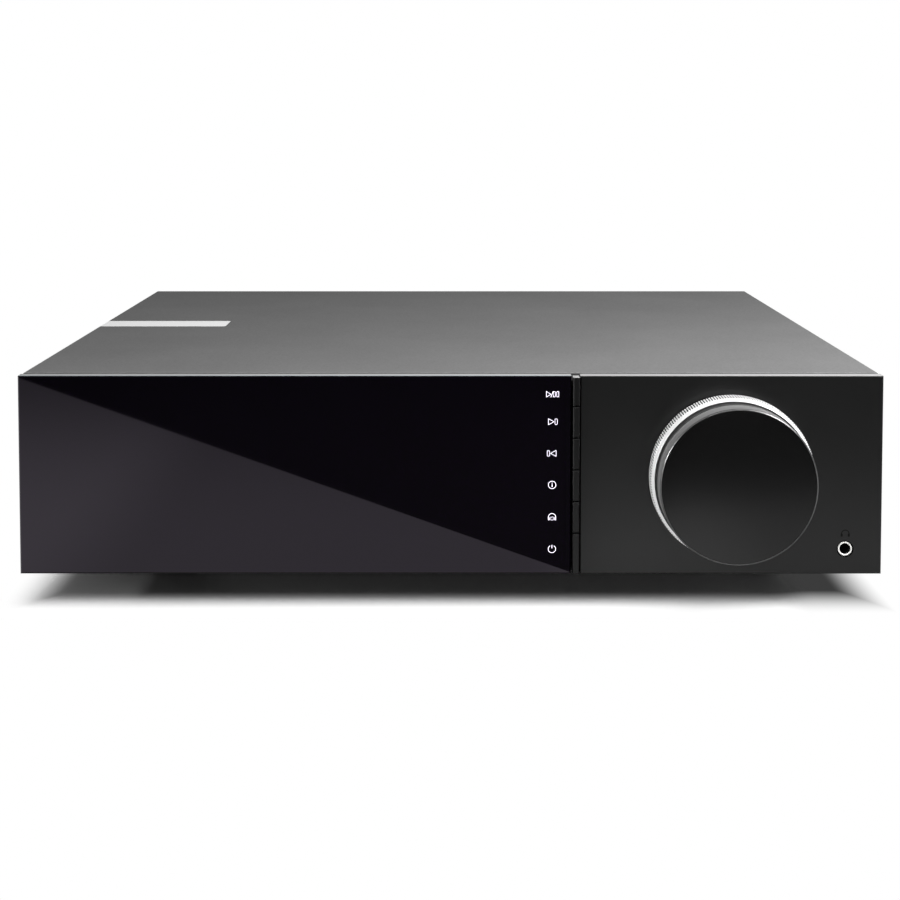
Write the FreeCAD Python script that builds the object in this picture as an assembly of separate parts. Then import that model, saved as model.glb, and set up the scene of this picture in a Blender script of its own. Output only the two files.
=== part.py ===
import FreeCAD, Part
import math
import os

# Streaming amplifier, in millimetres. The front looks towards -Y, the top is +Z, and +X is on the right
# for someone who stands in front of it. The origin is on the ground, under the middle of the whole part.

os.makedirs("parts", exist_ok=True)
V = FreeCAD.Vector

# Whole amplifier
case_width = 317.0
overall_depth = 352.0
overall_height = 89.0
foot_height = 15.6
dial_reach = 22.0
post_reach = 15.0

# Clearances: between pieces that move past each other, round a shaft that turns, round a fixed piece
slide_gap = 0.3
turn_gap = 0.05
fixed_gap = 0.2

# Front plates: glass on the left, control panel on the right, moulded frame behind both
glass_width = 202.8
glass_thick = 2.2
glass_bevel = 0.5
panel_thick = 5.4
panel_bevel = 0.3
frame_thick = 6.6
shadow_gap = 2.8
display_width = 164.0
display_height = 62.0
display_thick = 5.0
display_inset = 14.0

# Keys, from the lowest to the highest
key_names = ("key_power", "key_output", "key_info", "key_previous", "key_next", "key_play_pause")
power_key_height = 15.2
top_key_short = 0.55
key_width = 2.4
key_glass_gap = 0.6
key_panel_gap = 0.35
key_joint = 0.35
key_top_drop = 0.5
key_proud = 0.85
key_travel = 0.6
key_edge = 0.3
blade_inset = 1.6
frame_rim = 2.0
shoulder_width = 6.8
shoulder_thick = 1.4
stem_height = 3.0
stem_over = 0.9
guide_width = 14.0
guide_wall = 1.5
switch_size = 4.5
switch_thick = 1.5
switch_button_size = 2.0
switch_button_height = 0.5
key_board_width = 18.0

# Dial, as distances from the face of the control panel along its axis, and radii
dial_from_right = 55.9
dial_up = 36.7
ring_radius = 30.0
ring_gap = 1.0
knurl_width = 6.7
knurl_count = 96
knurl_step = 0.1
knurl_depth = 0.3
ring_chamfer_width = 2.0
ring_chamfer_drop = 0.8
neck_radius = 28.2
neck_width = 3.8
ring_well_radius = 9.0
dial_radius = 28.2
dial_rim = 0.5
dial_edge = 0.4
face_thick = 0.8
face_sunk = 0.1
ring_shaft_radius = 3.0
dial_shaft_radius = 2.0
dial_shaft_grip = 5.0
bush_radius = 5.0
bush_proud = 3.0
encoder_size = 24.0
encoder_depth = 12.0
ring_shaft_depth = 8.6

# Headphone socket
jack_from_right = 13.3
jack_up = 9.3
jack_bore_radius = 1.8
jack_sleeve_radius = 2.7
jack_hole_radius = 3.1
jack_sleeve_length = 15.0
jack_sunk = 0.2
jack_body_width = 10.0
jack_body_height = 9.4
jack_body_depth = 6.0

# Case: base plate, side rails, cover, side panels and rear panel
sheet = 1.2
rail_lip = 9.0
front_lip_bottom = 24.0
cover_thick = 2.5
cover_bevel = 0.5
cover_flange_depth = 12.0
cover_flange_thick = 1.6
cover_flange_inset = 24.0
side_thick = 6.0
side_bevel = 0.6
tab_width = 14.0
tab_height = 4.0
tab_length = 6.0
tab_inset = 40.0
magnet_length = 16.0
magnet_height = 8.0
magnet_thick = 2.4
magnet_inset = 18.0
magnet_edge = 11.0
rear_thick = 1.5
rear_inset = 1.5
slot_width = 3.0
slot_pitch = 9.0
floor_slot_length = 46.0
rear_slot_length = 14.0
rear_slot_count = 8
strip_length = 56.9
strip_width = 21.0
strip_thick = 0.8
strip_behind_face = 154.0
strip_corner = 1.5

# Feet
foot_radius = 18.0
foot_base_radius = 16.5
foot_edge = 1.5
pad_radius = 13.5
pad_thick = 1.2
foot_side_inset = 36.0
front_foot_inset = 80.0
rear_foot_inset = 46.0

# Mains inlet and rocker switch. The pieces on the back stand side by side with even gaps between them.
back_margin = 10.5
inlet_up = 29.0
inlet_flange_width = 31.0
inlet_flange_height = 25.0
inlet_flange_thick = 3.0
inlet_body_width = 27.0
inlet_body_height = 20.0
inlet_body_depth = 19.0
inlet_well_width = 24.4
inlet_well_height = 16.6
inlet_well_depth = 16.0
inlet_well_corner = 5.0
inlet_pin_width = 2.0
inlet_pin_height = 4.0
inlet_pin_sunk = 4.6
inlet_pin_spacing = 14.0
inlet_earth_up = 4.0
inlet_tab_length = 8.0
rocker_width = 11.4
rocker_half_height = 8.0
rocker_middle = 3.4
rocker_tilt = 10.0
rocker_back = 3.0
rocker_pin_radius = 1.0
rocker_pin_length = 1.2
rocker_pivot_sunk = 2.5
housing_wall = 2.2
housing_flange = 1.6
housing_flange_thick = 1.5
housing_depth = 17.0

# Binding posts, two for each channel, the positive one first
post_spacing = 19.0
channel_spacing = 45.0
post_up = 35.0
plate_width = 84.0
plate_height = 22.0
plate_flange = 2.5
plate_proud = 3.0
plate_depth = 4.0
stud_radius = 2.9
stud_inside = 9.0
stud_end_sunk = 0.8
banana_radius = 2.0
banana_depth = 15.0
collar_flats = 11.0
collar_thick = 1.4
cap_radius = 7.0
cap_flute_depth = 0.7
cap_flute_count = 12
thread_gap = 0.08

# Phono sockets in two stacks of two, on one moulded block
phono_stack_spacing = 18.0
phono_stack_count = 2
phono_row_spacing = 18.0
phono_first_up = 9.0
phono_radius = 4.15
phono_reach = 9.0
phono_bore_radius = 1.65
phono_bore_depth = 7.0
phono_block_width = 30.0
phono_block_depth = 13.0
phono_block_proud = 0.6
phono_block_margin = 6.0

# Optical socket and its flap
optical_width = 10.0
optical_height = 10.4
optical_depth = 13.0
optical_lip = 1.0
optical_mouth_width = 6.2
optical_mouth_height = 6.2
optical_wall = 1.4
optical_well_depth = 8.4
flap_thick = 0.8
flap_length = 6.9
flap_pin_radius = 0.45
flap_pin_length = 0.8

# HDMI, USB, network and aerial sockets
socket_proud = 0.6
hdmi_width = 15.0
hdmi_height = 5.9
hdmi_wall = 0.5
hdmi_corner = 1.6
hdmi_depth = 12.0
hdmi_tongue_width = 11.0
hdmi_tongue_thick = 1.2
usb_width = 13.2
usb_height = 5.8
usb_wall = 0.4
usb_depth = 14.0
usb_tongue_width = 10.6
usb_tongue_thick = 1.8
network_width = 16.0
network_height = 13.4
network_depth = 16.0
network_mouth_width = 11.9
network_mouth_height = 7.4
network_notch_width = 6.2
network_notch_height = 2.0
network_mouth_depth = 12.5
network_mouth_up = 4.2
aerial_from_top = 13.7
aerial_radius = 3.1
aerial_reach = 9.0
aerial_inside = 7.0
aerial_flats = 8.0
aerial_nut_thick = 2.2

# Boards inside
board_up = 7.2
board_thick = 1.6
board_wall_gap = 2.0
board_gap = 8.0
pillar_flats = 6.0
pillar_inset = 8.0
main_board_depth = 96.0
main_chip_size = 16.0
main_chip_spacing = 36.0
main_chip_inset = 30.0
supply_width = 78.0
supply_front_inset = 70.0
transformer_width = 46.0
transformer_depth = 38.0
transformer_height = 34.0
capacitor_size = 18.0
capacitor_height = 30.0
capacitor_spacing = 30.0
supply_margin = 6.0
amp_board_width = 64.0
amp_board_depth = 104.0
amp_board_back_gap = 14.0
amp_chip_width = 18.0
amp_chip_depth = 24.0
amp_pair_spacing = 32.0
coil_size = 17.0
coil_height = 18.0
coil_inset = 14.0
module_width = 58.0
module_height = 30.0
module_back_gap = 36.0
sink_base = 5.0
sink_height = 34.0
sink_fin = 1.6
sink_fin_count = 9
sink_side_gap = 4.0
sink_front_gap = 10.0
sink_back_gap = 30.0
chip_height = 4.0

# Main planes, worked out from the sizes above
half_width = case_width / 2
face_y = dial_reach - overall_depth / 2
back_y = overall_depth / 2 - post_reach
bottom_z = foot_height
top_z = overall_height
panel_back_y = face_y + panel_thick
frame_back_y = panel_back_y + frame_thick
key_pitch = (overall_height - foot_height - power_key_height + top_key_short) / (len(key_names) - 1)
cover_front_y = panel_back_y + shadow_gap
cover_bottom_z = top_z - cover_thick
rail_half = half_width - side_thick - slide_gap
rail_inner = rail_half - sheet
floor_z = bottom_z + sheet
rear_out_y = back_y - rear_inset
rear_in_y = rear_out_y - rear_thick
glass_right = glass_width - half_width
key_left = glass_right + key_glass_gap
key_right = key_left + key_width
panel_left = key_right + key_panel_gap
dial_x = half_width - dial_from_right
dial_z = bottom_z + dial_up
jack_x = half_width - jack_from_right
jack_z = bottom_z + jack_up
board_z = floor_z + board_up
board_top_z = board_z + board_thick


def block(x0, x1, y0, y1, z0, z1):
    return Part.makeBox(x1 - x0, y1 - y0, z1 - z0, V(x0, y0, z0))


def rod_y(x, y0, y1, z, radius):
    return Part.makeCylinder(radius, y1 - y0, V(x, y0, z), V(0, 1, 0))


def rod_x(x0, x1, y, z, radius):
    return Part.makeCylinder(radius, x1 - x0, V(x0, y, z), V(1, 0, 0))


def rod_z(x, y, z0, z1, radius):
    return Part.makeCylinder(radius, z1 - z0, V(x, y, z0), V(0, 0, 1))


def outline_face(points):
    return Part.Face(Part.makePolygon(points + points[:1]))


def turned_y(x, z, profile):
    """A turned piece on an axis along Y. The profile is a list of (radius, y)."""
    face = outline_face([V(x + radius, y, z) for radius, y in profile])
    return face.revolve(V(x, 0, z), V(0, 1, 0), 360)


def turned_z(x, y, profile):
    """A turned piece on an upright axis. The profile is a list of (radius, z)."""
    face = outline_face([V(x + radius, y, z) for radius, z in profile])
    return face.revolve(V(x, y, 0), V(0, 0, 1), 360)


def star_y(x, z, y0, y1, count, outer, inner):
    """A prism along Y whose outline has corners at two radii in turn, as a knurl or a finger grip has."""
    points = []
    for step in range(2 * count):
        turn = math.pi * step / count
        radius = outer if step % 2 else inner
        points.append(V(x + radius * math.cos(turn), y0, z + radius * math.sin(turn)))
    return outline_face(points).extrude(V(0, y1 - y0, 0))


def hexagon(across_flats):
    """The corners of a hexagon round the origin, as pairs."""
    corner = across_flats / 2 / math.cos(math.radians(30))
    turns = [math.radians(60 * side) for side in range(6)]
    return [(corner * math.cos(turn), corner * math.sin(turn)) for turn in turns]


def hexagon_y(x, z, y0, y1, across_flats):
    """A six-sided prism along Y, as a nut has it."""
    points = [V(x + across, y0, z + up) for across, up in hexagon(across_flats)]
    return outline_face(points).extrude(V(0, y1 - y0, 0))


def hexagon_z(x, y, z0, z1, across_flats):
    """A six-sided upright prism, as a threaded pillar has it."""
    points = [V(x + across, y + back, z0) for across, back in hexagon(across_flats)]
    return outline_face(points).extrude(V(0, 0, z1 - z0))


def bevel(solid, size, chosen):
    """Bevels the edges for which chosen(edge) is true."""
    return solid.makeChamfer(size, [edge for edge in solid.Edges if chosen(edge)])


def edge_lies_at_x(x):
    return lambda edge: all(abs(vertex.Point.x - x) < 1e-6 for vertex in edge.Vertexes)


def edge_lies_at_y(y):
    return lambda edge: all(abs(vertex.Point.y - y) < 1e-6 for vertex in edge.Vertexes)


def edge_lies_at_z(z):
    return lambda edge: all(abs(vertex.Point.z - z) < 1e-6 for vertex in edge.Vertexes)


def joined(solids):
    return solids[0].multiFuse(solids[1:]).removeSplitter()


def save(node, *solids):
    shape = solids[0] if len(solids) == 1 else Part.makeCompound(list(solids))
    shape.exportStep(f"parts/{node}.step")


# Front plates


def display_window(gap, y0, y1):
    """The place of the display behind the glass, widened by a gap all round."""
    left = -half_width + display_inset - gap
    middle_z = (bottom_z + top_z) / 2
    half = display_height / 2 + gap
    return block(left, left + display_width + 2 * gap, y0, y1, middle_z - half, middle_z + half)


def key_blade_span(index):
    """The blade is shorter than the cap, and stays clear of the rims of the frame."""
    low, high = key_span(index)
    lowest = bottom_z + frame_rim + slide_gap
    highest = cover_bottom_z - frame_rim - slide_gap
    return max(low + blade_inset, lowest), min(high - blade_inset, highest)


def key_span(index):
    """The lowest and highest point of a key's cap, with half a joint left free at each neighbour."""
    low = bottom_z if index == 0 else bottom_z + power_key_height + (index - 1) * key_pitch
    high = bottom_z + power_key_height + index * key_pitch
    last = len(key_names) - 1
    if index == last:
        high = top_z - key_top_drop
    return low + (key_joint / 2 if index > 0 else 0), high - (key_joint / 2 if index < last else 0)


def encoder_block(gap, y0, y1):
    half = encoder_size / 2 + gap
    return block(dial_x - half, dial_x + half, y0, y1, dial_z - half, dial_z + half)


def display_glass():
    plate = block(-half_width, glass_right, face_y, face_y + glass_thick, bottom_z, top_z)
    return bevel(plate, glass_bevel, edge_lies_at_y(face_y))


def display_panel():
    return display_window(0, face_y + glass_thick, face_y + glass_thick + display_thick)


def front_frame():
    """Moulded frame: a pad that carries the glass, and a plate with windows behind the whole front."""
    pad = block(-half_width, glass_right, face_y + glass_thick, panel_back_y, bottom_z, top_z)
    plate = block(-rail_half, rail_half, panel_back_y, frame_back_y, bottom_z, cover_bottom_z)
    low = key_blade_span(0)[0] - slide_gap
    high = key_blade_span(len(key_names) - 1)[1] + slide_gap
    key_slot = block(key_left - slide_gap, key_right + slide_gap, panel_back_y, frame_back_y, low, high)
    frame = joined([pad, plate])
    frame = frame.cut(display_window(fixed_gap, face_y + glass_thick, frame_back_y))
    frame = frame.cut(key_slot)
    frame = frame.cut(encoder_block(fixed_gap, panel_back_y, frame_back_y))
    return frame.cut(rod_y(jack_x, panel_back_y, frame_back_y, jack_z, jack_sleeve_radius + fixed_gap))


def control_panel():
    plate = block(panel_left, half_width, face_y, panel_back_y, bottom_z, top_z)
    plate = bevel(plate, panel_bevel, edge_lies_at_y(face_y))
    plate = plate.cut(rod_y(dial_x, face_y, panel_back_y, dial_z, bush_radius + fixed_gap))
    return plate.cut(rod_y(jack_x, face_y, panel_back_y, jack_z, jack_hole_radius))


# Keys: a cap that fills its part of the column, a blade through the frame, a shoulder that keeps the key
# in, and a stem through the guide that ends over its switch

cap_back_y = panel_back_y - key_travel - slide_gap
shoulder_front_y = frame_back_y + slide_gap
shoulder_back_y = shoulder_front_y + shoulder_thick
guide_front_y = shoulder_back_y + key_travel + 2 * slide_gap
guide_back_y = guide_front_y + guide_wall
stem_end_y = guide_back_y + stem_over
switch_top_y = stem_end_y + key_travel + slide_gap
key_board_y = switch_top_y + switch_button_height + switch_thick
key_middle = (key_left + key_right) / 2


def key(index):
    low, high = key_span(index)
    blade_low, blade_high = key_blade_span(index)
    middle_z = (low + high) / 2
    half_shoulder = shoulder_width / 2
    half_stem = stem_height / 2
    cap = block(key_left, key_right, face_y - key_proud, cap_back_y, low, high)
    cap = bevel(cap, key_edge, edge_lies_at_y(face_y - key_proud))
    blade = block(key_left, key_right, cap_back_y, shoulder_front_y, blade_low, blade_high)
    shoulder = block(key_middle - half_shoulder, key_middle + half_shoulder,
                     shoulder_front_y, shoulder_back_y, blade_low, blade_high)
    stem = block(key_left, key_right, shoulder_back_y, stem_end_y, middle_z - half_stem, middle_z + half_stem)
    return joined([cap, blade, shoulder, stem])


def key_guide():
    """A web with a window for each stem, between two walls that reach from the frame to the key board."""
    left = key_middle - guide_width / 2
    right = key_middle + guide_width / 2
    walls = [block(left, left + guide_wall, frame_back_y, key_board_y, floor_z, cover_bottom_z),
             block(right - guide_wall, right, frame_back_y, key_board_y, floor_z, cover_bottom_z)]
    guide = joined(walls + [block(left, right, guide_front_y, guide_back_y, floor_z, cover_bottom_z)])
    for index in range(len(key_names)):
        middle_z = sum(key_span(index)) / 2
        half = stem_height / 2 + slide_gap
        guide = guide.cut(block(key_left - slide_gap, key_right + slide_gap,
                                guide_front_y, guide_back_y, middle_z - half, middle_z + half))
    return guide


def key_board():
    half = key_board_width / 2
    return block(key_middle - half, key_middle + half, key_board_y, key_board_y + board_thick,
                 floor_z, cover_bottom_z)


def key_switch(index):
    middle_z = sum(key_span(index)) / 2
    half = switch_size / 2
    body_y = key_board_y - switch_thick
    body = block(key_middle - half, key_middle + half, body_y, key_board_y, middle_z - half, middle_z + half)
    half = switch_button_size / 2
    return body.fuse(block(key_middle - half, key_middle + half, switch_top_y, body_y,
                           middle_z - half, middle_z + half))


# Dial. The ring turns on its hollow shaft, and the front dial on a shaft inside that one.


def before(distance):
    """The y of a point that lies this far in front of the control panel."""
    return face_y - distance


knurl_front = ring_gap + knurl_width
neck_back = knurl_front + ring_chamfer_width
neck_front = neck_back + neck_width
dial_back = neck_front + slide_gap
ring_well = bush_proud + slide_gap + fixed_gap
face_back = dial_reach - face_sunk - face_thick
encoder_back_y = panel_back_y + encoder_depth


def dial_ring():
    """A turned ring with a knurled band, a chamfer and a neck, and a well at the back over the bush."""
    root = ring_radius - knurl_depth - knurl_step
    body = turned_y(dial_x, dial_z, [
        (ring_shaft_radius, before(ring_well)), (ring_well_radius, before(ring_well)),
        (ring_well_radius, before(ring_gap)), (root, before(ring_gap)), (root, before(knurl_front)),
        (root - ring_chamfer_drop, before(neck_back)), (neck_radius, before(neck_back)),
        (neck_radius, before(neck_front)), (ring_shaft_radius, before(neck_front))])
    band = star_y(dial_x, dial_z, before(knurl_front), before(ring_gap),
                  knurl_count, ring_radius, ring_radius - knurl_depth)
    hollow = rod_y(dial_x, before(knurl_front), before(ring_gap), dial_z, (root + ring_well_radius) / 2)
    return joined([body, band.cut(hollow)])


def ring_shaft():
    end_y = panel_back_y + ring_shaft_depth
    outer = rod_y(dial_x, before(neck_front), end_y, dial_z, ring_shaft_radius)
    return outer.cut(rod_y(dial_x, before(neck_front), end_y, dial_z, dial_shaft_radius + turn_gap))


def dial_body():
    """A turned knob with a bright rim round the sunk seat of its face disc, bored for its shaft."""
    seat_radius = dial_radius - dial_rim
    grip_front = dial_back + dial_shaft_grip
    return turned_y(dial_x, dial_z, [
        (0, before(face_back)), (0, before(grip_front)), (dial_shaft_radius, before(grip_front)),
        (dial_shaft_radius, before(dial_back)), (dial_radius, before(dial_back)),
        (dial_radius, before(dial_reach - dial_edge)), (dial_radius - dial_edge, before(dial_reach)),
        (seat_radius, before(dial_reach)), (seat_radius, before(face_back))])


def dial_face():
    return rod_y(dial_x, before(dial_reach - face_sunk), before(face_back), dial_z, dial_radius - dial_rim)


def dial_shaft():
    front = before(dial_back + dial_shaft_grip)
    return rod_y(dial_x, front, encoder_back_y - sheet - slide_gap, dial_z, dial_shaft_radius)


def encoder_body():
    """A square body behind the panel and a threaded bush through it, bored for both shafts."""
    bush = rod_y(dial_x, before(bush_proud), panel_back_y, dial_z, bush_radius)
    body = joined([bush, encoder_block(0, panel_back_y, encoder_back_y)])
    ring_end = panel_back_y + ring_shaft_depth + slide_gap
    body = body.cut(rod_y(dial_x, before(bush_proud), ring_end, dial_z, ring_shaft_radius + turn_gap))
    return body.cut(rod_y(dial_x, ring_end, encoder_back_y - sheet, dial_z, dial_shaft_radius + turn_gap))


# Headphone socket

jack_front_y = face_y + jack_sunk
jack_end_y = jack_front_y + jack_sleeve_length


def headphone_sleeve():
    tube = rod_y(jack_x, jack_front_y, jack_end_y, jack_z, jack_sleeve_radius)
    return tube.cut(rod_y(jack_x, jack_front_y, jack_end_y, jack_z, jack_bore_radius))


def headphone_socket():
    half_x = jack_body_width / 2
    half_z = jack_body_height / 2
    return block(jack_x - half_x, jack_x + half_x, jack_end_y, jack_end_y + jack_body_depth,
                 jack_z - half_z, jack_z + half_z)


# Places on the back, side by side from the mains inlet on the left to the network socket on the right

rocker_frame_width = rocker_width + 2 * (slide_gap + housing_wall + housing_flange)


def places_on_back():
    """The middle of each piece on the back. What they leave free is shared out as even gaps."""
    widths = [inlet_flange_width, rocker_frame_width, plate_width, phono_block_width, optical_width,
              hdmi_width, usb_width, network_width]
    gap = (2 * (rail_inner - back_margin) - sum(widths)) / (len(widths) - 1)
    left = back_margin - rail_inner
    places = []
    for width in widths:
        places.append(left + width / 2)
        left += width + gap
    return places


inlet_x, rocker_x, plate_x, phono_x, optical_x, hdmi_x, usb_x, network_x = places_on_back()
inlet_z = floor_z + inlet_up
rocker_z = inlet_z
post_z = floor_z + post_up
post_names = ("left_positive", "left_negative", "right_positive", "right_negative")
post_places = [plate_x + side * channel_spacing / 2 + sign * post_spacing / 2
               for side in (-1, 1) for sign in (-1, 1)]
phono_places = [phono_x + phono_stack_spacing * (column - (phono_stack_count - 1) / 2)
                for column in range(phono_stack_count)]
phono_rows = [board_top_z + phono_first_up, board_top_z + phono_first_up + phono_row_spacing]
aerial_places = [phono_x, usb_x]
aerial_z = cover_bottom_z - aerial_from_top

# Places of the boards: the amplifier board behind the posts, the supply before it, the main board beside it

amp_left = plate_x - amp_board_width / 2
amp_right = amp_left + amp_board_width
amp_back = rear_in_y - amp_board_back_gap
amp_front = amp_back - amp_board_depth
main_left = amp_right + board_gap
main_right = rail_inner - board_wall_gap
main_back = rear_in_y - board_wall_gap
main_front = main_back - main_board_depth
supply_left = board_wall_gap - rail_inner
supply_right = supply_left + supply_width
supply_front = face_y + supply_front_inset
supply_back = amp_front - board_gap
board_places = [(main_left, main_right, main_front, main_back),
                (supply_left, supply_right, supply_front, supply_back),
                (amp_left, amp_right, amp_front, amp_back)]


def tab_places():
    z = (floor_z + cover_bottom_z) / 2
    return [(cover_front_y + tab_inset, z), (back_y - tab_inset, z)]


def magnet_places():
    low = bottom_z + magnet_edge
    high = cover_bottom_z - magnet_edge
    return [(y, z) for y in (cover_front_y + magnet_inset, back_y - magnet_inset) for z in (low, high)]


def foot_places():
    x = half_width - foot_side_inset
    return [(side * x, y) for y in (face_y + front_foot_inset, back_y - rear_foot_inset) for side in (-1, 1)]


def pillar_places():
    places = []
    for left, right, front, back in board_places:
        places += [(x, y) for x in (left + pillar_inset, right - pillar_inset)
                   for y in (front + pillar_inset, back - pillar_inset)]
    return places


# Base, rails and cover


def base_plate():
    """Sheet floor of the case, with air slots under the supply and the amplifier board."""
    plate = block(-rail_half, rail_half, frame_back_y, rear_out_y, bottom_z, floor_z)
    slots = []
    for x0, x1, front, back in (board_places[1], board_places[2]):
        middle_x = (x0 + x1) / 2
        middle_y = (front + back) / 2
        count = int((x1 - x0) / slot_pitch) - 1
        for step in range(count):
            x = middle_x + slot_pitch * (step - (count - 1) / 2)
            slots.append(block(x - slot_width / 2, x + slot_width / 2, middle_y - floor_slot_length / 2,
                               middle_y + floor_slot_length / 2, bottom_z, floor_z))
    return plate.cut(slots)


def side_rail(side):
    """Folded sheet wall with a lip at each end and a slot for each tab of the side panel."""
    wall_x = sorted((side * rail_inner, side * rail_half))
    lip_x = sorted((side * (rail_inner - rail_lip), side * rail_half))
    rail = joined([block(*wall_x, frame_back_y, rear_out_y, floor_z, cover_bottom_z),
                   block(*lip_x, rear_in_y - sheet, rear_in_y, floor_z, cover_bottom_z),
                   block(*lip_x, frame_back_y, frame_back_y + sheet, floor_z + front_lip_bottom, cover_bottom_z)])
    return rail.cut([tab_block(side, y, z, slide_gap, rail_inner, rail_half) for y, z in tab_places()])


def tab_block(side, y, z, gap, near, far):
    half_y = tab_width / 2 + gap
    half_z = tab_height / 2 + gap
    return block(*sorted((side * near, side * far)), y - half_y, y + half_y, z - half_z, z + half_z)


def top_cover():
    """Thick plate over the whole case, with two flanges inside the rails and a sunk seat for the strip."""
    plate = block(-half_width, half_width, cover_front_y, back_y, cover_bottom_z, top_z)
    plate = bevel(plate, cover_bevel, edge_lies_at_z(top_z))
    flange_bottom = cover_bottom_z - cover_flange_depth
    outer = rail_inner - fixed_gap
    flanges = []
    for side in (-1, 1):
        flange_x = sorted((side * (outer - cover_flange_thick), side * outer))
        flanges.append(block(*flange_x, cover_front_y + cover_flange_inset,
                             rear_in_y - cover_flange_inset, flange_bottom, cover_bottom_z))
    return joined([plate] + flanges).cut(badge_strip())


def badge_strip():
    """Bare strip, sunk flush into the left edge of the cover, its inner corners rounded."""
    y0 = face_y + strip_behind_face
    strip = block(-half_width, strip_length - half_width, y0, y0 + strip_width, top_z - strip_thick, top_z)
    corners = [edge for edge in strip.Edges if abs(edge.CenterOfMass.x - (strip_length - half_width)) < 1e-6
               and abs(edge.Vertexes[0].Point.z - edge.Vertexes[1].Point.z) > strip_thick / 2]
    strip = strip.makeFillet(strip_corner, corners)
    sloped = block(-half_width, half_width, cover_front_y, back_y, cover_bottom_z, top_z)
    return strip.common(bevel(sloped, cover_bevel, edge_lies_at_z(top_z)))


def rear_panel():
    plate = block(-rail_inner + fixed_gap, rail_inner - fixed_gap, rear_in_y, rear_out_y,
                  floor_z, cover_bottom_z)
    holes = [inlet_hole(), rocker_hole(), plate_hole(fixed_gap, rear_in_y, rear_out_y)]
    for x, width, height in ((phono_x, phono_block_width, phono_block_top - board_top_z),
                             (optical_x, optical_width, optical_height), (hdmi_x, hdmi_width, hdmi_height),
                             (usb_x, usb_width, usb_height), (network_x, network_width, network_height)):
        half = width / 2 + fixed_gap
        holes.append(block(x - half, x + half, rear_in_y, rear_out_y,
                           board_top_z - fixed_gap, board_top_z + height + fixed_gap))
    holes += [rod_y(x, rear_in_y, rear_out_y, aerial_z, aerial_radius + fixed_gap) for x in aerial_places]
    slots_top = cover_bottom_z - rail_lip / 2
    middle_x = (inlet_x + rocker_x) / 2
    for step in range(rear_slot_count):
        x = middle_x + slot_pitch * (step - (rear_slot_count - 1) / 2)
        holes.append(block(x - slot_width / 2, x + slot_width / 2, rear_in_y, rear_out_y,
                           slots_top - rear_slot_length, slots_top))
    return plate.cut(holes)


# Side panels: held by bar magnets, located by two tabs


def side_panel(side):
    inner = rail_half + slide_gap
    panel = block(*sorted((side * inner, side * half_width)), cover_front_y + slide_gap, back_y - slide_gap,
                  bottom_z + slide_gap, cover_bottom_z - slide_gap)
    panel = bevel(panel, side_bevel, edge_lies_at_x(side * half_width))
    tabs = [tab_block(side, y, z, 0, inner - tab_length, inner) for y, z in tab_places()]
    return joined([panel.cut(side_magnets(side))] + tabs)


def side_magnets(side):
    inner = rail_half + slide_gap
    x0, x1 = sorted((side * inner, side * (inner + magnet_thick)))
    half_y = magnet_length / 2
    half_z = magnet_height / 2
    return [block(x0, x1, y - half_y, y + half_y, z - half_z, z + half_z) for y, z in magnet_places()]


# Feet


def foot(x, y):
    return turned_z(x, y, [
        (0, pad_thick), (foot_base_radius, pad_thick), (foot_radius, pad_thick + foot_edge),
        (foot_radius, bottom_z), (0, bottom_z)])


def foot_pad(x, y):
    return rod_z(x, y, 0, pad_thick, pad_radius)


# Mains inlet and rocker switch


def inlet_hole():
    half_x = inlet_body_width / 2
    half_z = inlet_body_height / 2
    return block(inlet_x - half_x, inlet_x + half_x, rear_in_y, rear_out_y, inlet_z - half_z, inlet_z + half_z)


def inlet_well(y0, y1):
    """The well of the inlet: a rectangle whose two upper corners are cut off."""
    half_x = inlet_well_width / 2
    half_z = inlet_well_height / 2
    cut = inlet_well_corner
    shape = [(-half_x, -half_z), (half_x, -half_z), (half_x, half_z - cut), (half_x - cut, half_z),
             (cut - half_x, half_z), (-half_x, half_z - cut)]
    points = [V(inlet_x + x, y0, inlet_z + z) for x, z in shape]
    return outline_face(points).extrude(V(0, y1 - y0, 0))


def inlet_pin_places():
    return [(inlet_x - inlet_pin_spacing / 2, inlet_z), (inlet_x + inlet_pin_spacing / 2, inlet_z),
            (inlet_x, inlet_z + inlet_earth_up)]


def inlet_pin(x, z, y0, y1):
    half_x = inlet_pin_width / 2
    half_z = inlet_pin_height / 2
    return block(x - half_x, x + half_x, y0, y1, z - half_z, z + half_z)


def mains_inlet():
    half_x = inlet_flange_width / 2
    half_z = inlet_flange_height / 2
    mouth_y = rear_out_y + inlet_flange_thick
    flange = block(inlet_x - half_x, inlet_x + half_x, rear_out_y, mouth_y, inlet_z - half_z, inlet_z + half_z)
    flange = bevel(flange, panel_bevel, edge_lies_at_y(mouth_y))
    half_x = inlet_body_width / 2
    half_z = inlet_body_height / 2
    body = block(inlet_x - half_x, inlet_x + half_x, rear_out_y - inlet_body_depth, rear_out_y,
                 inlet_z - half_z, inlet_z + half_z)
    inlet = joined([flange, body]).cut(inlet_well(mouth_y - inlet_well_depth, mouth_y))
    for x, z in inlet_pin_places():
        inlet = inlet.cut(inlet_pin(x, z, rear_out_y - inlet_body_depth, mouth_y - inlet_well_depth))
    return inlet


def inlet_pins():
    tip_y = rear_out_y + inlet_flange_thick - inlet_pin_sunk
    tail_y = rear_out_y - inlet_body_depth - inlet_tab_length
    return [inlet_pin(x, z, tail_y, tip_y) for x, z in inlet_pin_places()]


rocker_pivot_y = rear_out_y + housing_flange_thick - rocker_pivot_sunk
rocker_edge_out = rocker_middle + rocker_half_height * math.tan(math.radians(rocker_tilt))
rocker_corner = math.hypot(rocker_half_height, rocker_edge_out)
rocker_low_angle = math.atan2(rocker_edge_out, rocker_half_height) - math.radians(rocker_tilt)
rocker_well_half = rocker_corner * math.cos(rocker_low_angle) + slide_gap
rocker_well_width = rocker_width + 2 * slide_gap


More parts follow.
